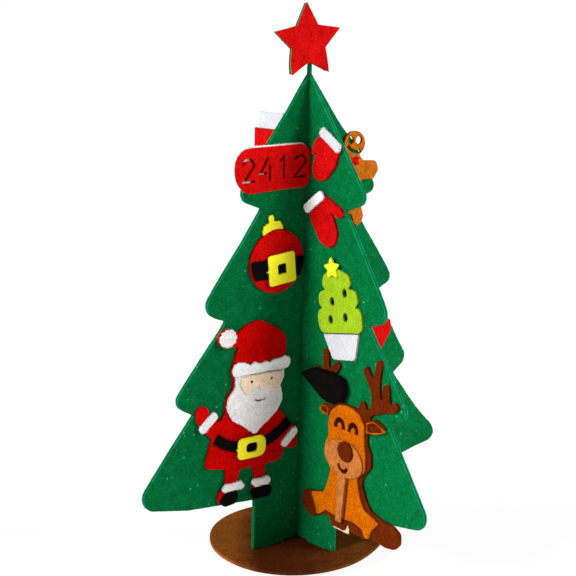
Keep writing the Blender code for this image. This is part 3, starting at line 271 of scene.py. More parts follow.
# Small pulls of the felt: place across and up, size, and push along X, Y and Z.
FRONT_PULLS = [
    ((122.0, 48.0), 13.0, (1.2, -2.2, 0.0)),
    ((-70.0, 158.0), 13.0, (0.0, 0.0, -2.0)),
    ((68.0, 158.0), 13.0, (-0.5, 0.0, 2.4)),
    ((-52.0, 228.0), 12.0, (1.4, 0.0, -0.8)),
    ((54.0, 230.0), 11.0, (2.2, 0.0, -1.6)),
]
SIDE_PULLS = [
    ((76.0, 160.0), 14.0, (0.0, 0.0, -2.2)),
]
# Pulls that one piece alone has. Those of the reindeer's backing draw its near antler and its head
# towards the middle of the tree.
OWN_PULLS = {
    "panel_ac": [((36.0, 258.0), 11.0, (3.0, 0.0, 0.0))],
    "gingerbread_body": [((42.5, 210.0), 10.0, (1.4, 0.0, -1.2))],
    "reindeer_backing": [((80.0, 126.0), 15.0, (0.0, 2.4, 0.0)), ((72.0, 80.0), 15.0, (0.0, 1.2, 0.0))],
}
# The pull that the other pieces of the reindeer's head share.
HEAD_PULL = ((72.0, 80.0), 15.0, (0.0, 2.4, 0.0))
# The reindeer's legs hang lower, in full below the first height and not at all above the second,
# and its near hoof hangs lower still.
LEG_DROP = 1.6
LEG_HEIGHTS = (45.0, 80.0)
HOOF_DROP = 1.2
HOOF_PLACE = (82.0, 33.0)
HOOF_SIZE = 15.0
# The reindeer's right ear is drawn out by this much at its tip.
EAR_REACH = 4.0
# The heart sits a little further left than in CAD, and lower.
HEART_STEP = np.array((-1.1, 0.0, -1.6))
# The plaque's end beside the spine stands off the panel.
PLAQUE_LIFT = 1.6
PLAQUE_LIFT_RANGE = (-19.0, -2.0)
# The star is twisted about the spine.
STAR_TWIST = math.radians(10.0)
STAR_HEIGHTS = (297.0, 309.0)
# The warped base: its rise in the middle, its tilt and its curl from left to right, and its right lip.
BASE_REACH = 57.5
BASE_RISE = 1.2
BASE_TILT = 3.2
BASE_CURL = 2.2
LIP_RISE = 1.6
LIP_RANGE = (0.5, 1.1)
# The tree's foot follows the base's rise, up to this height.
FOOT_HEIGHT = 35.0

# Kinds of felt piece, in millimetres

# Step of the grid, rounding of the cut edge and height of the lumps. A layer's back sinks through
# the glue to the felt below.
LAYER = {"grid": 0.8, "radius": 0.35, "lumps": 0.05}
GLUE_SINK = 0.32
PANEL = {"grid": 1.5, "radius": 0.5, "lumps": 0.07, "sink": 0.0, "held": "stretched"}
BASE = {"grid": 1.3, "radius": 0.45, "sink": 0.0}
# Fleece's ragged, lumpy look, in the front panel's lighter white, which is painted light.
FLEECE_AND_PAINTED_LIGHT = {"ragged": 0.34, "lumps": 0.14, "radius": 0.5, "colour": "felt_fleece"}
# What sets single layers apart: their colour, their surface, and how far their outline grows.
LOOKS = {
    "plaque_front": {"colour": "felt_plaque_red", "grid": 0.6, "carve_depth": 1.3},
    # The bauble takes the lighter red: painted light.
    "bauble_ball": {"colour": "felt_bauble_red"},
    "father_christmas_coat": {"colour": "felt_deep_red"},
    "father_christmas_beard": FLEECE_AND_PAINTED_LIGHT,
    "father_christmas_pompom": FLEECE_AND_PAINTED_LIGHT,
    # The brim, the right cuff, the right boot trim and the lower mitten's cuff take the lightest white:
    # painted light.
    "father_christmas_hat_brim": {**FLEECE_AND_PAINTED_LIGHT, "grow": 0.25, "colour": "felt_bright_fleece"},
    "father_christmas_right_cuff": {"colour": "felt_bright_fleece"},
    "father_christmas_right_boot_trim": {"colour": "felt_bright_fleece"},
    "lower_mitten_cuff": {"colour": "felt_bright_fleece"},
    "reindeer_backing": {"grow": -0.25},
    "reindeer_left_ear": {"grow": -0.4},
    "reindeer_right_ear": {"grow": -0.45},
    "reindeer_hoof_backing": {"grow": 0.35},
}
# The layer whose inner outlines are numerals cut part way in.
CARVED = "plaque_front"
FIRST_SEED = 1.0
SEED_STEP = 0.37
EDGE_ROUGHNESS = 0.10
# The black cap is stuffed: its rounding is a share of its height, and soft ribs run down it.
CAP = {"grid": 0.7, "lumps": 0.12, "seed": 7.3, "back_radius": 0.3, "ribs": 0.28, "ragged": 0.2}
CAP_ROUNDING_SHARE = 0.85
CAP_SINK = 0.3
# What fills the holes of a layer: the pieces' name, the layer, another node, their colour, and how far
# they rise from the layer below.
INLAYS = (
    # Dark spots in the foliage's holes are painted shade.
    ("painted_shade_spot", "potted_tree_foliage", "panel_bd", "felt_dark_green", 0.45),
    ("smile", "reindeer_muzzle", "reindeer_nose", "felt_deep_brown", 0.6),
    ("eye", "reindeer_body", "reindeer_nose", "felt_deep_brown", 0.35),
    ("eye", "father_christmas_face", "father_christmas_belt", "felt_eye_brown", 0.9),
)
INLAY = {"grid": 0.5, "radius": 0.2, "lumps": 0.03, "ragged": 0.03}
INLAY_SEED = 3.0
# Holes longer than this from corner to corner stay open.
INLAY_LIMIT = 13.0
INLAY_BACK_SINK = 0.55
INLAY_FACE_SINK = 0.28

# Loose fibres, in millimetres; the counts are for one piece

PANEL_FIBRES = {"edge_count": 900, "face_count": 900, "length": 1.6, "thick": 0.05}
LAYER_FIBRES = {"edge_count": 90, "face_count": 45, "length": 1.2, "thick": 0.05}
FLEECE_FIBRES = {"edge_count": 220, "face_count": 110, "length": 1.2, "thick": 0.08}
PANEL_FIBRE_SEED = 11
LAYER_FIBRE_SEED = 51
# The shortest fibre's share of the longest.
SHORTEST_SHARE = 0.5
# How far fibres stand up from an edge and from a face, how far they lean, how much they curl, and
# how strongly a face's fibres are pressed down on it.
EDGE_STAND = 1.0
FACE_STAND = 0.12
FIBRE_LEAN = 0.7
FIBRE_CURL = 0.35
FIBRE_PRESS = 0.9
# An edge's fibres start inside the felt, and a face's fibres are lifted clear of it.
FIBRE_ROOT = 0.12
FIBRE_LIFT = 0.14
# Thickness at the start of each of a fibre's three stretches, as shares.
TAPER_SHARES = (1.0, 0.8, 0.5)
FIBRE_SIDES = 3
# No fibres beside the line where the panels cross, nor at the base's slits, in metres.
SPINE_CLEAR = 0.007
FOOT_CLEAR = 0.006
BARE_NODES = ("base", "father_christmas_nose")


# Material nodes

def link(tree, a, b):
    tree.links.new(a, b)


def add_node(tree, kind, **settings):
    node = tree.nodes.new(kind)
    for name, value in settings.items():
        if name in node.inputs:
            node.inputs[name].default_value = value
        else:
            setattr(node, name, value)
    return node


def mix_value(tree, operation, a, b):
    node = add_node(tree, "ShaderNodeMath", operation=operation)
    for socket, value in zip(node.inputs, (a, b)):
        if isinstance(value, (int, float)):
            socket.default_value = value
        else:
            link(tree, value, socket)
    return node.outputs[0]


def mix_colour(tree, share, a, b, blend="MIX"):
    node = add_node(tree, "ShaderNodeMix", data_type="RGBA", blend_type=blend)
    if isinstance(share, (int, float)):
        node.inputs[0].default_value = share
    else:
        link(tree, share, node.inputs[0])
    for socket, value in ((node.inputs[6], a), (node.inputs[7], b)):
        if isinstance(value, tuple):
            socket.default_value = (*value[:3], 1.0)
        else:
            link(tree, value, socket)
    return node.outputs[2]


def spread(tree, value, span, results):
    """A value that runs between two results while the given one runs over a span."""
    node = add_node(tree, "ShaderNodeMapRange")
    link(tree, value, node.inputs["Value"])
    for name, number in zip(("From Min", "From Max", "To Min", "To Max"), (*span, *results)):
        node.inputs[name].default_value = number
    return node.outputs["Result"]


def waves(tree, place, scale, detail, roughness):
    node = add_node(tree, "ShaderNodeTexNoise", Scale=scale, Detail=detail, Roughness=roughness)
    link(tree, place, node.inputs["Vector"])
    return node.outputs["Fac"]


def streaks(tree, place, angle, across, along):
    """Noise drawn out along one direction: a lay of fibres."""
    spin = add_node(tree, "ShaderNodeMapping")
    spin.inputs["Rotation"].default_value = angle
    spin.inputs["Scale"].default_value = (along, across, across)
    link(tree, place, spin.inputs["Vector"])
    lay = add_node(
        tree, "ShaderNodeTexNoise",
        Scale=1.0, Detail=FIBRE_DETAIL, Roughness=FIBRE_ROUGHNESS, Distortion=FIBRE_SWERVE,
    )
    link(tree, spin.outputs["Vector"], lay.inputs["Vector"])
    return lay.outputs["Fac"]


# Camera, light and floor

def add_camera():
    data = bpy.data.cameras.new("camera")
    data.lens = CAMERA_LENS
    data.sensor_width = SENSOR_WIDTH
    camera = bpy.data.objects.new("camera", data)
    SCENE.collection.objects.link(camera)
    up = Vector((0, 0, 1))
    ahead = CAMERA_HEADING * math.cos(CAMERA_PITCH) - up * math.sin(CAMERA_PITCH)
    right = ahead.cross(up).normalized()
    axes = Matrix((right, right.cross(ahead), -ahead)).transposed()
    turn = axes @ Matrix.Rotation(CAMERA_ROLL, 3, "Z")
    camera.matrix_world = Matrix.Translation(CAMERA_PLACE) @ turn.to_4x4()
    SCENE.camera = camera


def add_sun(name, towards, strength, angle):
    """A wide, soft light from one direction, given as the way to it from the tree."""
    data = bpy.data.lights.new(name, "SUN")
    data.energy = strength
    data.angle = math.radians(angle)
    light = bpy.data.objects.new(name, data)
    SCENE.collection.objects.link(light)
    light.rotation_euler = Vector(towards).to_track_quat("Z", "Y").to_euler()


def add_studio():
    """A white surround that is bright at the horizon and dim overhead."""
    world = bpy.data.worlds.new("studio")
    world.use_nodes = True
    tree = world.node_tree
    background = tree.nodes["Background"]
    background.inputs["Color"].default_value = WHITE
    way = add_node(tree, "ShaderNodeTexCoord").outputs["Generated"]
    parts = add_node(tree, "ShaderNodeSeparateXYZ")
    link(tree, way, parts.inputs[0])
    strength = spread(tree, parts.outputs["Z"], FADE_HEIGHTS, FADE_BRIGHTNESS)
    link(tree, strength, background.inputs["Strength"])
    SCENE.world = world


def add_floor():
    """A white table that glows a little, as a light table does."""
    bpy.ops.mesh.primitive_plane_add(size=FLOOR_SIZE, location=(0.0, 0.0, -FLOOR_DROP))
    floor = bpy.context.object
    floor.name = "floor"
    paint = bpy.data.materials.new("floor_paint")
    paint.use_nodes = True
    shader = paint.node_tree.nodes["Principled BSDF"]
    shader.inputs["Base Color"].default_value = FLOOR_GREY
    shader.inputs["Roughness"].default_value = FLOOR_ROUGHNESS
    shader.inputs["Specular IOR Level"].default_value = 0.0
    shader.inputs["Emission Color"].default_value = WHITE
    shader.inputs["Emission Strength"].default_value = FLOOR_GLOW
    floor.data.materials.append(paint)


# Felt

def painted_base_light_and_shade(tree, place, cloud):
    """Painted light and shade on the base felt: lighter on the left, darker in front, with a ragged
    change between.
    """
    parts = add_node(tree, "ShaderNodeSeparateXYZ")
    link(tree, place, parts.inputs[0])
    along_x = mix_value(tree, "MULTIPLY", parts.outputs["X"], BASE_ACROSS[0])
    against_y = mix_value(tree, "MULTIPLY", parts.outputs["Y"], BASE_ACROSS[1])
    across = mix_value(tree, "SUBTRACT", along_x, against_y)
    wander = mix_value(tree, "MULTIPLY", mix_value(tree, "SUBTRACT", cloud, 0.5), BASE_PAINT_WANDER)
    across = mix_value(tree, "ADD", across, wander)
    tint = add_node(tree, "ShaderNodeCombineColor")
    for socket, left, front, right in zip(tint.inputs[:3], BASE_PAINTED_LIGHT_LEFT, BASE_PAINTED_SHADE_FRONT, BASE_PAINTED_LIGHT_RIGHT):
        pale = spread(tree, across, BASE_PAINT_LEFT_CHANGE, (left, front))
        more = spread(tree, across, BASE_PAINT_RIGHT_CHANGE, (0.0, right))
        link(tree, mix_value(tree, "ADD", pale, more), socket)
    return tint.outputs[0]


def shaded(tree, base, cloud, lump, depth):
    """Colour darkened and lightened by clouds and by lumps."""
    clouds = spread(tree, cloud, CLOUD_RANGE, (1.0 - CLOUD_DARKER * depth, 1.0 + CLOUD_LIGHTER * depth))
    grain = spread(tree, lump, LUMP_RANGE, (1.0 - LUMP_DARKER * depth, 1.0 + LUMP_LIGHTER * depth))
    shade = mix_value(tree, "MULTIPLY", clouds, grain)
    tint = add_node(tree, "ShaderNodeCombineColor")
    for socket in tint.inputs[:3]:
        link(tree, shade, socket)
    return mix_colour(tree, 1.0, base, tint.outputs[0], "MULTIPLY")


def speckled(tree, place, base, colour):
    """Colour with pale specks, which gather in patches."""
    specks = add_node(tree, "ShaderNodeTexVoronoi", Scale=SPECK_SCALE, Randomness=1.0)
    link(tree, place, specks.inputs["Vector"])
    patches = waves(tree, place, SPECK_PATCH_SCALE, SPECK_PATCH_DETAIL, SPECK_PATCH_ROUGHNESS)
    near = spread(tree, specks.outputs["Distance"], SPECK_RADII, (1.0, 0.0))
    some = spread(tree, patches, SPECK_PATCH_RANGE, (0.0, SPECK_PATCH_SHARE))
    return mix_colour(tree, mix_value(tree, "MULTIPLY", near, some), base, colour)


def with_painted_rim(tree, base, colour, cloud):
    """Colour with an uneven painted highlight where the mesh has its rim, which in cut numerals is
    their pale felt.
    """
    rim = add_node(tree, "ShaderNodeAttribute", attribute_name="rim")
    line = spread(tree, rim.outputs["Fac"], RIM_RANGE, (0.0, 1.0))
    uneven = spread(tree, cloud, RIM_CLOUD_RANGE, RIM_CLOUD_SHARES)
    return mix_colour(tree, mix_value(tree, "MULTIPLY", line, uneven), base, colour)


def felt(name, bump=1.0):
    """Pressed felt: crossed lays of fibre, cloudy colour and a few pale specks."""
    depth = QUIET.get(name, 1.0)
    key = f"{name}_{bump:g}_{depth:g}"
    if key in bpy.data.materials:
        return bpy.data.materials[key]
    colour = COLOURS[name]
    material = bpy.data.materials.new(key)
    material.use_nodes = True
    tree = material.node_tree
    shader = tree.nodes["Principled BSDF"]
    place = add_node(tree, "ShaderNodeTexCoord").outputs["Object"]
    lays = [streaks(tree, place, *lay) for lay in FIBRE_LAYS]
    fibre = mix_value(tree, "MAXIMUM", mix_value(tree, "MAXIMUM", lays[0], lays[1]), lays[2])
    cloud = waves(tree, place, CLOUD_SCALE, CLOUD_DETAIL, CLOUD_ROUGHNESS)
    lump = waves(tree, place, LUMP_SCALE, LUMP_DETAIL, LUMP_ROUGHNESS)
    dark = tuple((1.0 - FIBRE_DARKER * depth) * c for c in colour)
    light = tuple(min(1.0, (1.0 + FIBRE_LIGHTER * depth) * c) for c in colour)
    base = mix_colour(tree, spread(tree, fibre, FIBRE_RANGE, (0.0, 1.0)), dark, light)
    base = shaded(tree, base, cloud, lump, depth)
    # The base felt gets painted light on its left and painted shade in front.
    if name == "felt_base_brown":
        base = mix_colour(tree, 1.0, base, painted_base_light_and_shade(tree, place, cloud), "MULTIPLY")
    if name in SPECK_COLOURS:
        base = speckled(tree, place, base, SPECK_COLOURS[name])
    # The painted highlight along cut edges, and the pale felt in cut numerals.
    if name in PAINTED_RIM_COLOURS:
        base = with_painted_rim(tree, base, PAINTED_RIM_COLOURS[name], cloud)
    link(tree, base, shader.inputs["Base Color"])
    shader.inputs["Roughness"].default_value = FELT_ROUGHNESS
    shader.inputs["Specular IOR Level"].default_value = FELT_GLOSS
    height = mix_value(tree, "ADD", mix_value(tree, "MULTIPLY", fibre, BUMP_FIBRE_SHARE), lump)
    lumps = add_node(tree, "ShaderNodeBump", Strength=BUMP_STRENGTH * bump, Distance=BUMP_HEIGHT)
    link(tree, height, lumps.inputs["Height"])
    link(tree, lumps.outputs["Normal"], shader.inputs["Normal"])
    return material


# Reading a flat piece's outline from its CAD node

class Plane:
    """A face of the tree: flat coordinates across and up, and depth out of the face."""

    def __init__(self, across, up, out):
        self.axes = np.array((across, up, out), float)

    def flat(self, points):
        return np.asarray(points, float) @ self.axes.T

    def solid(self, points):
        return np.asarray(points, float) @ self.axes


PLANES = {
    "base": Plane((1, 0, 0), (0, 1, 0), (0, 0, 1)),
    "tree_ac": Plane((1, 0, 0), (0, 0, 1), (0, -1, 0)),
    "tree_bd": Plane((0, -1, 0), (0, 0, 1), (-1, 0, 0)),
}


def turning(p, q, r):
    """Twice the signed area of flat triangles; it is above 0 where they turn left."""
    first, second = q - p, r - p
    return first[..., 0] * second[..., 1] - first[..., 1] * second[..., 0]


def area_of(loop):
    x, y = loop[:, 0], loop[:, 1]
    return 0.5 * float(np.sum(x * np.roll(y, -1) - np.roll(x, -1) * y))


def chained(following):
    """Loops, from a table that gives the point after each point."""
    loops = []
    while following:
        start, step = next(iter(following.items()))
        loop = [start]
        del following[start]
        while step != start and step in following:
            loop.append(step)
            step = following.pop(step)
        loops.append(loop)
    return loops


def node_loops(node, at="front"):
    """(loops, back depth, front depth) of a plate, in millimetres; the felt is on each loop's left."""
    mesh = frame["nodes"][node].data
    points = PLANES[BODY[node]].flat([tuple(v.co) for v in mesh.vertices]) / MM
    low, high = points[:, 2].min(), points[:, 2].max()
    level = high if at == "front" else low
    welded = {}
    index = []
    for p in points:
        corner = (round(p[0], WELD_DIGITS), round(p[1], WELD_DIGITS))
        index.append(welded.setdefault(corner, len(welded)))
    places = np.array(list(welded), float)
    edges = {}
    mesh.calc_loop_triangles()
    for face in mesh.loop_triangles:
        if any(abs(points[v][2] - level) > FACE_SLACK for v in face.vertices):
            continue
        a, b, c = (index[v] for v in face.vertices)
        if len({a, b, c}) < 3:
            continue
        if turning(places[a], places[b], places[c]) < 0:
            b, c = c, b
        for edge in ((a, b), (b, c), (c, a)):
            edges[edge] = True
    following = {a: b for a, b in edges if (b, a) not in edges}
    loops = [places[loop] for loop in chained(following)]
    loops.sort(key=lambda loop: -abs(area_of(loop)))
    return loops, low, high


def inside(points, loops):
    """Even-odd test of flat points against all the loops together."""
    points = np.asarray(points, float)
    found = np.zeros(len(points), bool)
    for loop in loops:
        for (x0, y0), (x1, y1) in zip(loop, np.roll(loop, -1, axis=0)):
            if y0 == y1:
                continue
            crosses = (points[:, 1] >= min(y0, y1)) & (points[:, 1] < max(y0, y1))
            x = x0 + (points[:, 1] - y0) * (x1 - x0) / (y1 - y0)
            found ^= crosses & (points[:, 0] < x)
    return found


def refined(loop, step):
    """Loop with its long edges cut into pieces no longer than step, and without its shortest ones."""
    points = []
    for p, q in zip(loop, np.roll(loop, -1, axis=0)):
        length = math.dist(p, q)
        count = max(1, math.ceil(length / step))
        points += [p + (q - p) * i / count for i in range(count)]
    kept = [points[0]]
    for p in points[1:]:
        if math.dist(p, kept[-1]) > EDGE_GAP:
            kept.append(p)
    if math.dist(kept[0], kept[-1]) < EDGE_GAP:
        kept.pop()
    return np.array(kept)


def inward(loop):
    """Unit normals that point into the felt at each point of a loop."""
    ahead = np.roll(loop, -1, axis=0) - loop
    ahead /= np.linalg.norm(ahead, axis=1)[:, None]
    normal = np.stack((-ahead[:, 1], ahead[:, 0]), axis=1)
    mean = normal + np.roll(normal, 1, axis=0)
    length = np.linalg.norm(mean, axis=1)[:, None]
    return np.where(length > FOLD_LIMIT, mean / np.maximum(length, FOLD_LIMIT), normal)


def rough(loop, amount, seed):
    """Loop with the small wander of a die-cut felt edge."""
    shift = []
    for x, y in loop:
        slow = noise.noise(Vector((x * LONG_WAVE + seed, y * LONG_WAVE, seed * LONG_WAVE_SLICE)))
        quick = noise.noise(Vector((x * SHORT_WAVE, y * SHORT_WAVE + seed, seed)))
        shift.append(amount * slow + SHORT_WAVE_SHARE * amount * quick)
    return loop + inward(loop) * np.array(shift)[:, None]


class Edge:
    """Distance of flat points from the cut edge."""

    def __init__(self, loops):
        self.points = np.concatenate(loops)
        self.after = np.concatenate([np.roll(loop, -1, axis=0) for loop in loops])
        self.before = np.concatenate([np.roll(loop, 1, axis=0) for loop in loops])
        self.tree = kdtree.KDTree(len(self.points))
        for i, (x, y) in enumerate(self.points):
            self.tree.insert((x, y, 0.0), i)
        self.tree.balance()

    def distance(self, p):
        best = math.inf
        for _, i, _ in self.tree.find_n((p[0], p[1], 0.0), 2):
            a = self.points[i]
            for b in (self.before[i], self.after[i]):
                ab = b - a
                t = max(0.0, min(1.0, float((p - a) @ ab) / max(float(ab @ ab), TINY)))
                best = min(best, math.hypot(*(p - a - ab * t)))
        return best


# Meshing a sheet

def smooth(start, end, value):
    """0 below start, 1 above end, and an even curve between."""
    share = np.clip((value - start) / (end - start), 0.0, 1.0)
    return share * share * (3.0 - 2.0 * share)


def relief(x, y, seed, amount):
    """Lumps of unevenly pressed fibre."""
    x, y = x / RELIEF_SIZE, y / RELIEF_SIZE
    return amount * (
        noise.noise(Vector((x + seed, y, seed)))
        + SMALL_RELIEF_SHARE
        * noise.noise(Vector((x * SMALL_RELIEF, y * SMALL_RELIEF + seed, SMALL_RELIEF_SLICE)))
    )


def rib(x, y, seed, amount):
    """Soft upright ribs that swerve a little."""
    swerve = RIB_SWERVE * noise.noise(Vector((x / RIB_SWERVE_WIDTH, y / RIB_SWERVE_HEIGHT, seed)))
    return amount * math.sin(x * math.tau / RIB_PITCH + swerve)


def cushion(distance, radius):
    """How far the surface lies below its level near a rounded edge of this radius."""
    if distance >= radius:
        return 0.0
    return radius - math.sqrt(max(0.0, radius * radius - (radius - distance) ** 2))


def add_loops(points, constraints, loops):
    """Adds loops to the points, and their edges to those that the triangles keep."""
    for loop in loops:
        start, count = len(points), len(loop)
        points += list(loop)
        constraints += [(start + i, start + (i + 1) % count) for i in range(count)]


def ring_points(loops, edge, depth):
    """Points that follow the cut edge at one depth inside it."""
    points = []
    for loop in loops:
        moved = loop + inward(loop) * depth
        last = None
        for p, good in zip(moved, inside(moved, loops)):
            if not good or edge.distance(p) < depth * RING_SLACK_SHARE:
                continue
            if last is not None and math.dist(p, last) < RING_GAP:
                continue
            points.append(p)
            last = p
    return points


def grid_points(loops, grid, seed):
    """Points of an uneven triangular grid that lie in the felt."""
    x0, y0 = loops[0].min(axis=0)
    x1, y1 = loops[0].max(axis=0)
    points = []
    row = 0
    y = y0
    while y < y1:
        start = x0 + (grid / 2 if row % 2 else 0.0)
        points += [(x, y) for x in np.arange(start, x1, grid)]
        y += grid * ROW_SHARE
        row += 1
    chance = random.Random(int(seed * 100) + GRID_SEED)
    shifts = [chance.uniform(-SHIFT_SHARE, SHIFT_SHARE) for _ in range(2 * len(points))]
    points = np.array(points) + np.array(shifts).reshape(-1, 2) * grid
    return [p for p, good in zip(points, inside(points, loops)) if good]


def triangulated(points, constraints, loops):
    """(places, triangles, the points that each place stands for) of the felt between the loops."""
    found = delaunay_2d_cdt([Vector(p) for p in points], constraints, [], 0, MERGE_LIMIT)
    flat = np.array([tuple(v) for v in found[0]])
    faces = np.array([face for face in found[2]])
    faces = faces[inside(flat[faces].mean(axis=1), loops)]
    turn = turning(flat[faces[:, 0]], flat[faces[:, 1]], flat[faces[:, 2]])
    faces = faces[np.abs(turn) > TINY]
    turn = turn[np.abs(turn) > TINY]
    faces[turn < 0] = faces[turn < 0][:, ::-1]
    used = np.unique(faces)
    place = -np.ones(len(flat), int)
    place[used] = np.arange(len(used))
    return flat[used], place[faces], [found[3][i] for i in used]


def cut_edge(flat, rim, front, back, seed):
    """The cut edge half way down: where it bulges out below each point of the rim."""
    out = {i: np.zeros(2) for i in sorted({i for pair in rim for i in pair})}
    for i, j in rim:
        along = flat[j] - flat[i]
        normal = np.array((along[1], -along[0])) / max(math.hypot(*along), TINY)
        out[i] = out[i] + normal
        out[j] = out[j] + normal
    walls = {}
    for i, way in out.items():
        way = way / max(math.hypot(*way), TINY)
        bulge = BULGE + BULGE_WANDER * noise.noise(Vector((*(flat[i] * BULGE_WAVE), seed)))
        walls[i] = (*(flat[i] + way * bulge), 0.5 * (front[i] + back[i]))
    return walls


def pale_share(point, floors):
    """How much of the pale felt below shows in a cut numeral: most in its level strokes on the left,
    fading into painted shade to the right.
    """
    best = 0.0
    for loop in floors:
        x0, y0 = loop.min(axis=0) - NUMERAL_MARGIN
        x1, y1 = loop.max(axis=0) + NUMERAL_MARGIN
        if not (x0 <= point[0] <= x1 and y0 <= point[1] <= y1):
            continue
        along, up = (point[0] - x0) / (x1 - x0), (point[1] - y0) / (y1 - y0)
        level = max(smooth(*STROKE_TOP, up), 1.0 - smooth(*STROKE_FOOT, up))
        fade = 1.0 - PLAQUE_FADE_SHARE * smooth(*PLAQUE_FADE, point[0])
        best = max(best, level * (1.0 - smooth(*STROKE_FADE, along)) * fade)
    return PALE_START + PALE_RISE * float(best) if best > PALE_LIMIT else 0.0


def mark_rim(mesh, flat, far, deep, floors, on_panel):
    """Marks the painted highlight beside the cut edge, and the pale felt in cut numerals, for the
    material.
    """
    count = len(flat)
    shares = np.zeros(len(mesh.vertices))
    shares[:count] = [1.0 if d < RIM_WIDTH else 0.0 for d in far]
    # On the panels the painted highlight weakens towards the foot, which lies more in shade.
    if on_panel:
        shares[:count] *= RIM_FOOT_SHARE + (1.0 - RIM_FOOT_SHARE) * smooth(*RIM_HEIGHTS, flat[:, 1])
    shares[count:2 * count] = shares[:count]
    if floors:
        shares[:count] = [pale_share(p, floors) if d else s for p, d, s in zip(flat, deep, shares)]
    mesh.attributes.new("rim", "FLOAT", "POINT").data.foreach_set("value", shares)


def felt_mesh(
    node, loops, low, high, grid, radius, lumps, seed,
    back_radius=None, carve=(), carve_depth=0.0, ribs=0.0, ragged=EDGE_ROUGHNESS,
):
    """(closed sheet, number of points on its face), with rounded, ragged edges and an uneven face."""
    back_radius = radius if back_radius is None else back_radius
    step = min(grid, EDGE_STEP)
    loops = [rough(refined(loop, step), ragged, seed) for loop in loops]
    edge = Edge(loops)
    trenches = [refined(loop, step) for loop in carve]
    floors = [loop - inward(loop) * TRENCH_WALL for loop in trenches]

    points, constraints = [], []
    add_loops(points, constraints, loops)
    for share in RING_SHARES:
        points += ring_points(loops, edge, share * radius)
    add_loops(points, constraints, trenches)
    floor_start = len(points)
    add_loops(points, constraints, floors)
    sunk = set(range(floor_start, len(points)))
    clear = RING_SHARES[-1] * radius + CLEAR_SHARE * grid
    inner = [p for p in grid_points(loops, grid, seed) if edge.distance(p) > clear]
    if floors:
        guard = Edge(trenches + floors)
        inner = [p for p in inner if guard.distance(p) > TRENCH_CLEAR]
        sunk.update(len(points) + i for i, down in enumerate(inside(inner, floors)) if down)
    points += inner

    flat, faces, sources = triangulated(points, constraints, loops)
    deep = [carve_depth if sunk.intersection(own) else 0.0 for own in sources]
    far = [edge.distance(p) for p in flat]
    front, back = [], []
    for (x, y), d, dip in zip(flat, far, deep):
        up = relief(x, y, seed, lumps) + rib(x, y, seed, ribs)
        front.append(high - cushion(d, radius) - dip + up * min(1.0, d / RELIEF_START))
        back.append(low + cushion(d, back_radius))

    count = len(flat)
    pairs = {(int(face[i]), int(face[(i + 1) % 3])) for face in faces for i in range(3)}
    rim = [(i, j) for i, j in pairs if (j, i) not in pairs]
    walls = cut_edge(flat, rim, front, back, seed)
    middles = {i: 2 * count + n for n, i in enumerate(walls)}
    vertices = [(*p, d) for p, d in zip(flat, front)] + [(*p, d) for p, d in zip(flat, back)]
    vertices += walls.values()
    polygons = [tuple(int(v) for v in face) for face in faces]
    polygons += [tuple(int(v) + count for v in face[::-1]) for face in faces]
    for i, j in rim:
        polygons.append((j, i, middles[i], middles[j]))
        polygons.append((middles[j], middles[i], i + count, j + count))

    mesh = bpy.data.meshes.new(node + "_felt")
    solid = settle(PLANES[BODY[node]].solid(np.array(vertices) * MM), node)
    mesh.from_pydata([tuple(v) for v in solid], [], polygons)
    mark_rim(mesh, flat, far, deep, floors, node.startswith("panel"))
    if floors:
        # Walls and floors of the cut numerals take the dark red of painted recess shade.
        sides = [1 if any(deep[v] for v in face) else 0 for face in faces]
        sides += [0] * (len(polygons) - len(sides))
        mesh.polygons.foreach_set("material_index", sides)
    mesh.shade_smooth()
    return mesh, count


# Bends of the standing felt

def base_rise(x, y):
    """How far the warped base stands up from the floor, in millimetres."""
    across = (BASE_ACROSS[0] * x - BASE_ACROSS[1] * y) / BASE_REACH
    lip = LIP_RISE * smooth(*LIP_RANGE, across)
    return BASE_RISE + BASE_TILT * across + BASE_CURL * across ** 2 + lip


def bow(wing, reach, height):
    """Push of a wing that is bent more the further it stands from the spine."""
    heights, pushes = zip(*wing)
    edge = np.maximum(FULL_REACH * (1.0 - (height - WING_FOOT) / WING_HEIGHT), LEAST_REACH)
    return np.interp(height, heights, pushes) * np.clip(reach / edge, 0.0, 1.0) ** BOW_POWER


def nearness(across, z, place, size):
    return np.exp(-((across - place[0]) ** 2 + (z - place[1]) ** 2) / size ** 2)


def pulls_on(node):
    """The small pulls that move one piece."""
    pulls = FRONT_PULLS if BODY[node] == "tree_ac" else SIDE_PULLS
    pulls = pulls + OWN_PULLS.get(node, [])
    if node.startswith("reindeer") and node != "reindeer_backing":
        pulls = pulls + [HEAD_PULL]
    return pulls


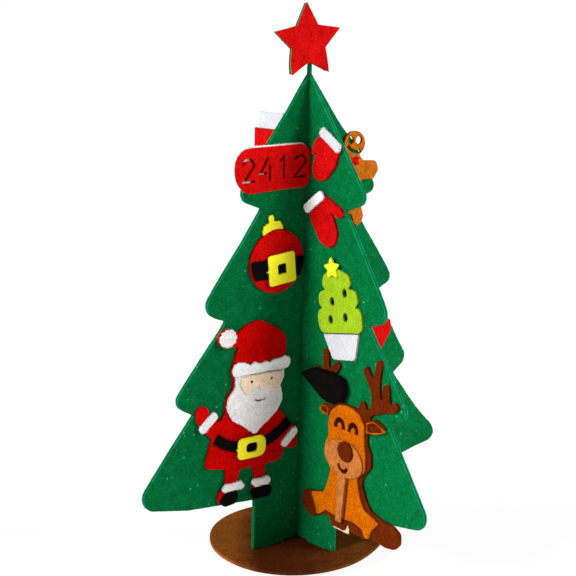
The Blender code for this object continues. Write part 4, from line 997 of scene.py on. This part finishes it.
def settle(points, node):
    """The slight bends of the standing felt: the same for a panel and for what is glued to it."""
    x, y, z = (points / MM).T
    if BODY[node] == "base":
        return np.stack((x, y, z + base_rise(x, y)), axis=1) * MM
    foot = base_rise(x, y) * (1.0 - np.clip(z / FOOT_HEIGHT, 0.0, 1.0))
    if BODY[node] == "tree_ac":
        across = x
        push = np.where(x < 0.0, bow(LEFT_WING, -x, z), bow(RIGHT_WING, x, z))
        step = np.stack((0.0 * x, push, foot), axis=1)
    else:
        across = -y
        step = np.stack((bow(NEAR_WING, -y, z), 0.0 * x, foot), axis=1)
    for place, size, way in pulls_on(node):
        step += nearness(across, z, place, size)[:, None] * np.array(way)
    if node.startswith("reindeer"):
        legs = LEG_DROP * (1.0 - smooth(*LEG_HEIGHTS, z))
        step[:, 2] -= legs + HOOF_DROP * nearness(across, z, HOOF_PLACE, HOOF_SIZE)
    if node == "reindeer_right_ear":
        step[:, 1] -= EAR_REACH * smooth(across.min(), across.max(), across)
    if node == "heart":
        step += HEART_STEP
    if node.startswith("plaque"):
        step[:, 1] -= PLAQUE_LIFT * smooth(*PLAQUE_LIFT_RANGE, x)
    moved = np.stack((x, y, z), axis=1) + step
    if BODY[node] == "tree_ac":
        turn = STAR_TWIST * smooth(*STAR_HEIGHTS, z)
        x, y = moved[:, 0].copy(), moved[:, 1].copy()
        moved[:, 0] = x * np.cos(turn) + y * np.sin(turn)
        moved[:, 1] = y * np.cos(turn) - x * np.sin(turn)
    return moved * MM


# Dressing the CAD nodes

def add_piece(name, mesh, *colours):
    piece = bpy.data.objects.new(name, mesh)
    SCENE.collection.objects.link(piece)
    for colour in colours:
        mesh.materials.append(felt(colour))
    return piece


# Each dressed node's mesh, and how many of its points are on its face.
FELT_PIECES = {}


def dress(node, on=(), held="laid", colour=None, sink=GLUE_SINK, grow=0.0, **look):
    """Replaces a CAD plate by a felt piece of the same outline."""
    loops, low, high = node_loops(node)
    carved = loops[1:] if node == CARVED else []
    kept = loops[:1] if carved else loops
    kept = [loop - inward(loop) * grow for loop in kept]
    low -= sink
    seed = FIRST_SEED + SEED_STEP * len(FELT_PIECES)
    mesh, face_count = felt_mesh(node, kept, low, high, seed=seed, carve=carved, **{**LAYER, **look})
    # A carved layer also takes the dark red of painted shade in its cut numerals.
    colours = [colour or SLOT[node]] + (["felt_recess_red"] if carved else [])
    piece = add_piece(node + "_felt", mesh, *colours)
    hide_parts(node)
    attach(piece, BODY[node])
    FELT_PIECES[node] = (mesh, face_count)


def dress_cap():
    """The black cap: a stuffed, ribbed dome of soft felt over its CAD dome."""
    loops, low, high = node_loops("black_cap", "back")
    radius = CAP_ROUNDING_SHARE * (high - low)
    mesh, _ = felt_mesh("black_cap", loops, low - CAP_SINK, high, radius=radius, **CAP)
    piece = add_piece("black_cap_felt", mesh, "felt_cap_black")
    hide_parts("black_cap")
    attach(piece, BODY["black_cap"])


def inlay(name, node, slot_node, colour, rise):
    """Small felt or ink pieces that fill the cut holes of a layer: round spots of painted shade, eyes
    and a smile.
    """
    loops, low, _ = node_loops(node)
    for i, hole in enumerate(loops[1:]):
        if math.dist(hole.min(axis=0), hole.max(axis=0)) > INLAY_LIMIT:
            continue
        disc = hole[::-1] if area_of(hole) < 0 else hole
        top = low - INLAY_FACE_SINK + rise
        mesh, _ = felt_mesh(node, [disc], low - INLAY_BACK_SINK, top, seed=INLAY_SEED + i, **INLAY)
        piece = add_piece(f"{node}_{name}_{i}", mesh, colour)
        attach(piece, BODY[node])


# Loose fibres

def random_way(chance):
    return Vector((chance.gauss(0, 1), chance.gauss(0, 1), chance.gauss(0, 1)))


def add_strand(vertices, polygons, point, way, curl, reach, thick, face):
    """One fibre: a thin, three-sided, pointed strand that curls, along the face it lies on if any."""
    start = len(vertices)
    for share in TAPER_SHARES:
        side = way.orthogonal().normalized()
        other = way.cross(side)
        for turn in range(FIBRE_SIDES):
            angle = math.tau * turn / FIBRE_SIDES
            corner = (side * math.cos(angle) + other * math.sin(angle)) * thick * MM * share
            vertices.append(tuple(point + corner))
        point = point + way * reach / len(TAPER_SHARES)
        way = (way + curl).normalized()
        if face is not None:
            way = (way - face * way.dot(face) * FIBRE_PRESS).normalized()
    tip = len(vertices)
    vertices.append(tuple(point))
    polygons.append(tuple(reversed(range(start, start + FIBRE_SIDES))))
    for ring in range(start, tip, FIBRE_SIDES):
        for turn in range(FIBRE_SIDES):
            a = ring + turn
            b = ring + (turn + 1) % FIBRE_SIDES
            if ring + FIBRE_SIDES == tip:
                polygons.append((a, b, tip))
            else:
                polygons.append((a, b, b + FIBRE_SIDES, a + FIBRE_SIDES))


def add_fibres(name, nodes, colour, edge_count, face_count, length, thick, seed):
    """Loose fibres that stand out from the edges of felt pieces and lie on their faces, as one mesh."""
    chance = random.Random(seed)
    vertices, polygons = [], []
    for node in nodes:
        mesh, on_face = FELT_PIECES[node]
        walls = sorted({v for p in mesh.polygons if len(p.vertices) == 4 for v in p.vertices})
        picks = [(chance.choice(walls), EDGE_STAND) for _ in range(edge_count)]
        picks += [(chance.choice(range(on_face)), FACE_STAND) for _ in range(face_count)]
        for index, stand in picks:
            place = mesh.vertices[index].co
            if abs(place.x) < SPINE_CLEAR and abs(place.y) < SPINE_CLEAR or place.z < FOOT_CLEAR:
                continue
            out = mesh.vertices[index].normal
            lean = random_way(chance)
            lean -= out * lean.dot(out) * (1.0 - stand)
            way = (out * stand + lean.normalized() * FIBRE_LEAN).normalized()
            curl = random_way(chance) * FIBRE_CURL
            reach = length * MM * chance.uniform(SHORTEST_SHARE, 1.0)
            point = place - out * FIBRE_ROOT * MM + out * (1.0 - stand) * FIBRE_LIFT * MM
            face = out if stand < EDGE_STAND else None
            add_strand(vertices, polygons, point, way, curl, reach, thick, face)
    mesh = bpy.data.meshes.new(name)
    mesh.from_pydata(vertices, [], polygons)
    mesh.materials.append(felt(colour, bump=0.0))
    piece = add_piece(name, mesh)
    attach(piece, BODY[nodes[0]])


# The scene

SCENE.view_settings.view_transform = "Standard"
add_camera()
add_studio()
add_floor()
for sun in SUNS:
    add_sun(*sun)

dress("base", **BASE)
dress("panel_bd", on=("base",), **PANEL)
# The front panel takes the darker copy of the green: painted shade.
dress("panel_ac", on=("base", "panel_bd"), colour="felt_green_front", **PANEL)
for node, body in BODY.items():
    if body == "tree_ac" and node != "panel_ac":
        # White pieces on the front panel take the lighter white: painted light.
        painted_light_white = {"colour": "felt_fleece"} if SLOT[node] == "felt_white" else {}
        dress(node, on=("panel_ac",), **{**painted_light_white, **LOOKS.get(node, {})})
for node, body in BODY.items():
    if body == "tree_bd" and node not in ("panel_bd", "black_cap"):
        dress(node, on=("panel_bd",), **LOOKS.get(node, {}))
dress_cap()
for row in INLAYS:
    inlay(*row)

BY_SLOT = {}
for node in FELT_PIECES:
    if node not in BARE_NODES:
        BY_SLOT.setdefault((BODY[node], SLOT[node]), []).append(node)
for i, ((body, slot), nodes) in enumerate(sorted(BY_SLOT.items())):
    panels = [node for node in nodes if node.startswith("panel")]
    layers = [node for node in nodes if not node.startswith("panel")]
    # The front panel's white fibres take the lighter white too: painted light.
    colour = "felt_fleece" if (body, slot) == ("tree_ac", "felt_white") else slot
    if panels:
        add_fibres(f"{body}_{slot}_fibres", panels, colour, seed=PANEL_FIBRE_SEED + i, **PANEL_FIBRES)
    if layers:
        kind = FLEECE_FIBRES if slot == "felt_white" else LAYER_FIBRES
        add_fibres(f"{body}_{slot}_fluff", layers, colour, seed=LAYER_FIBRE_SEED + i, **kind)
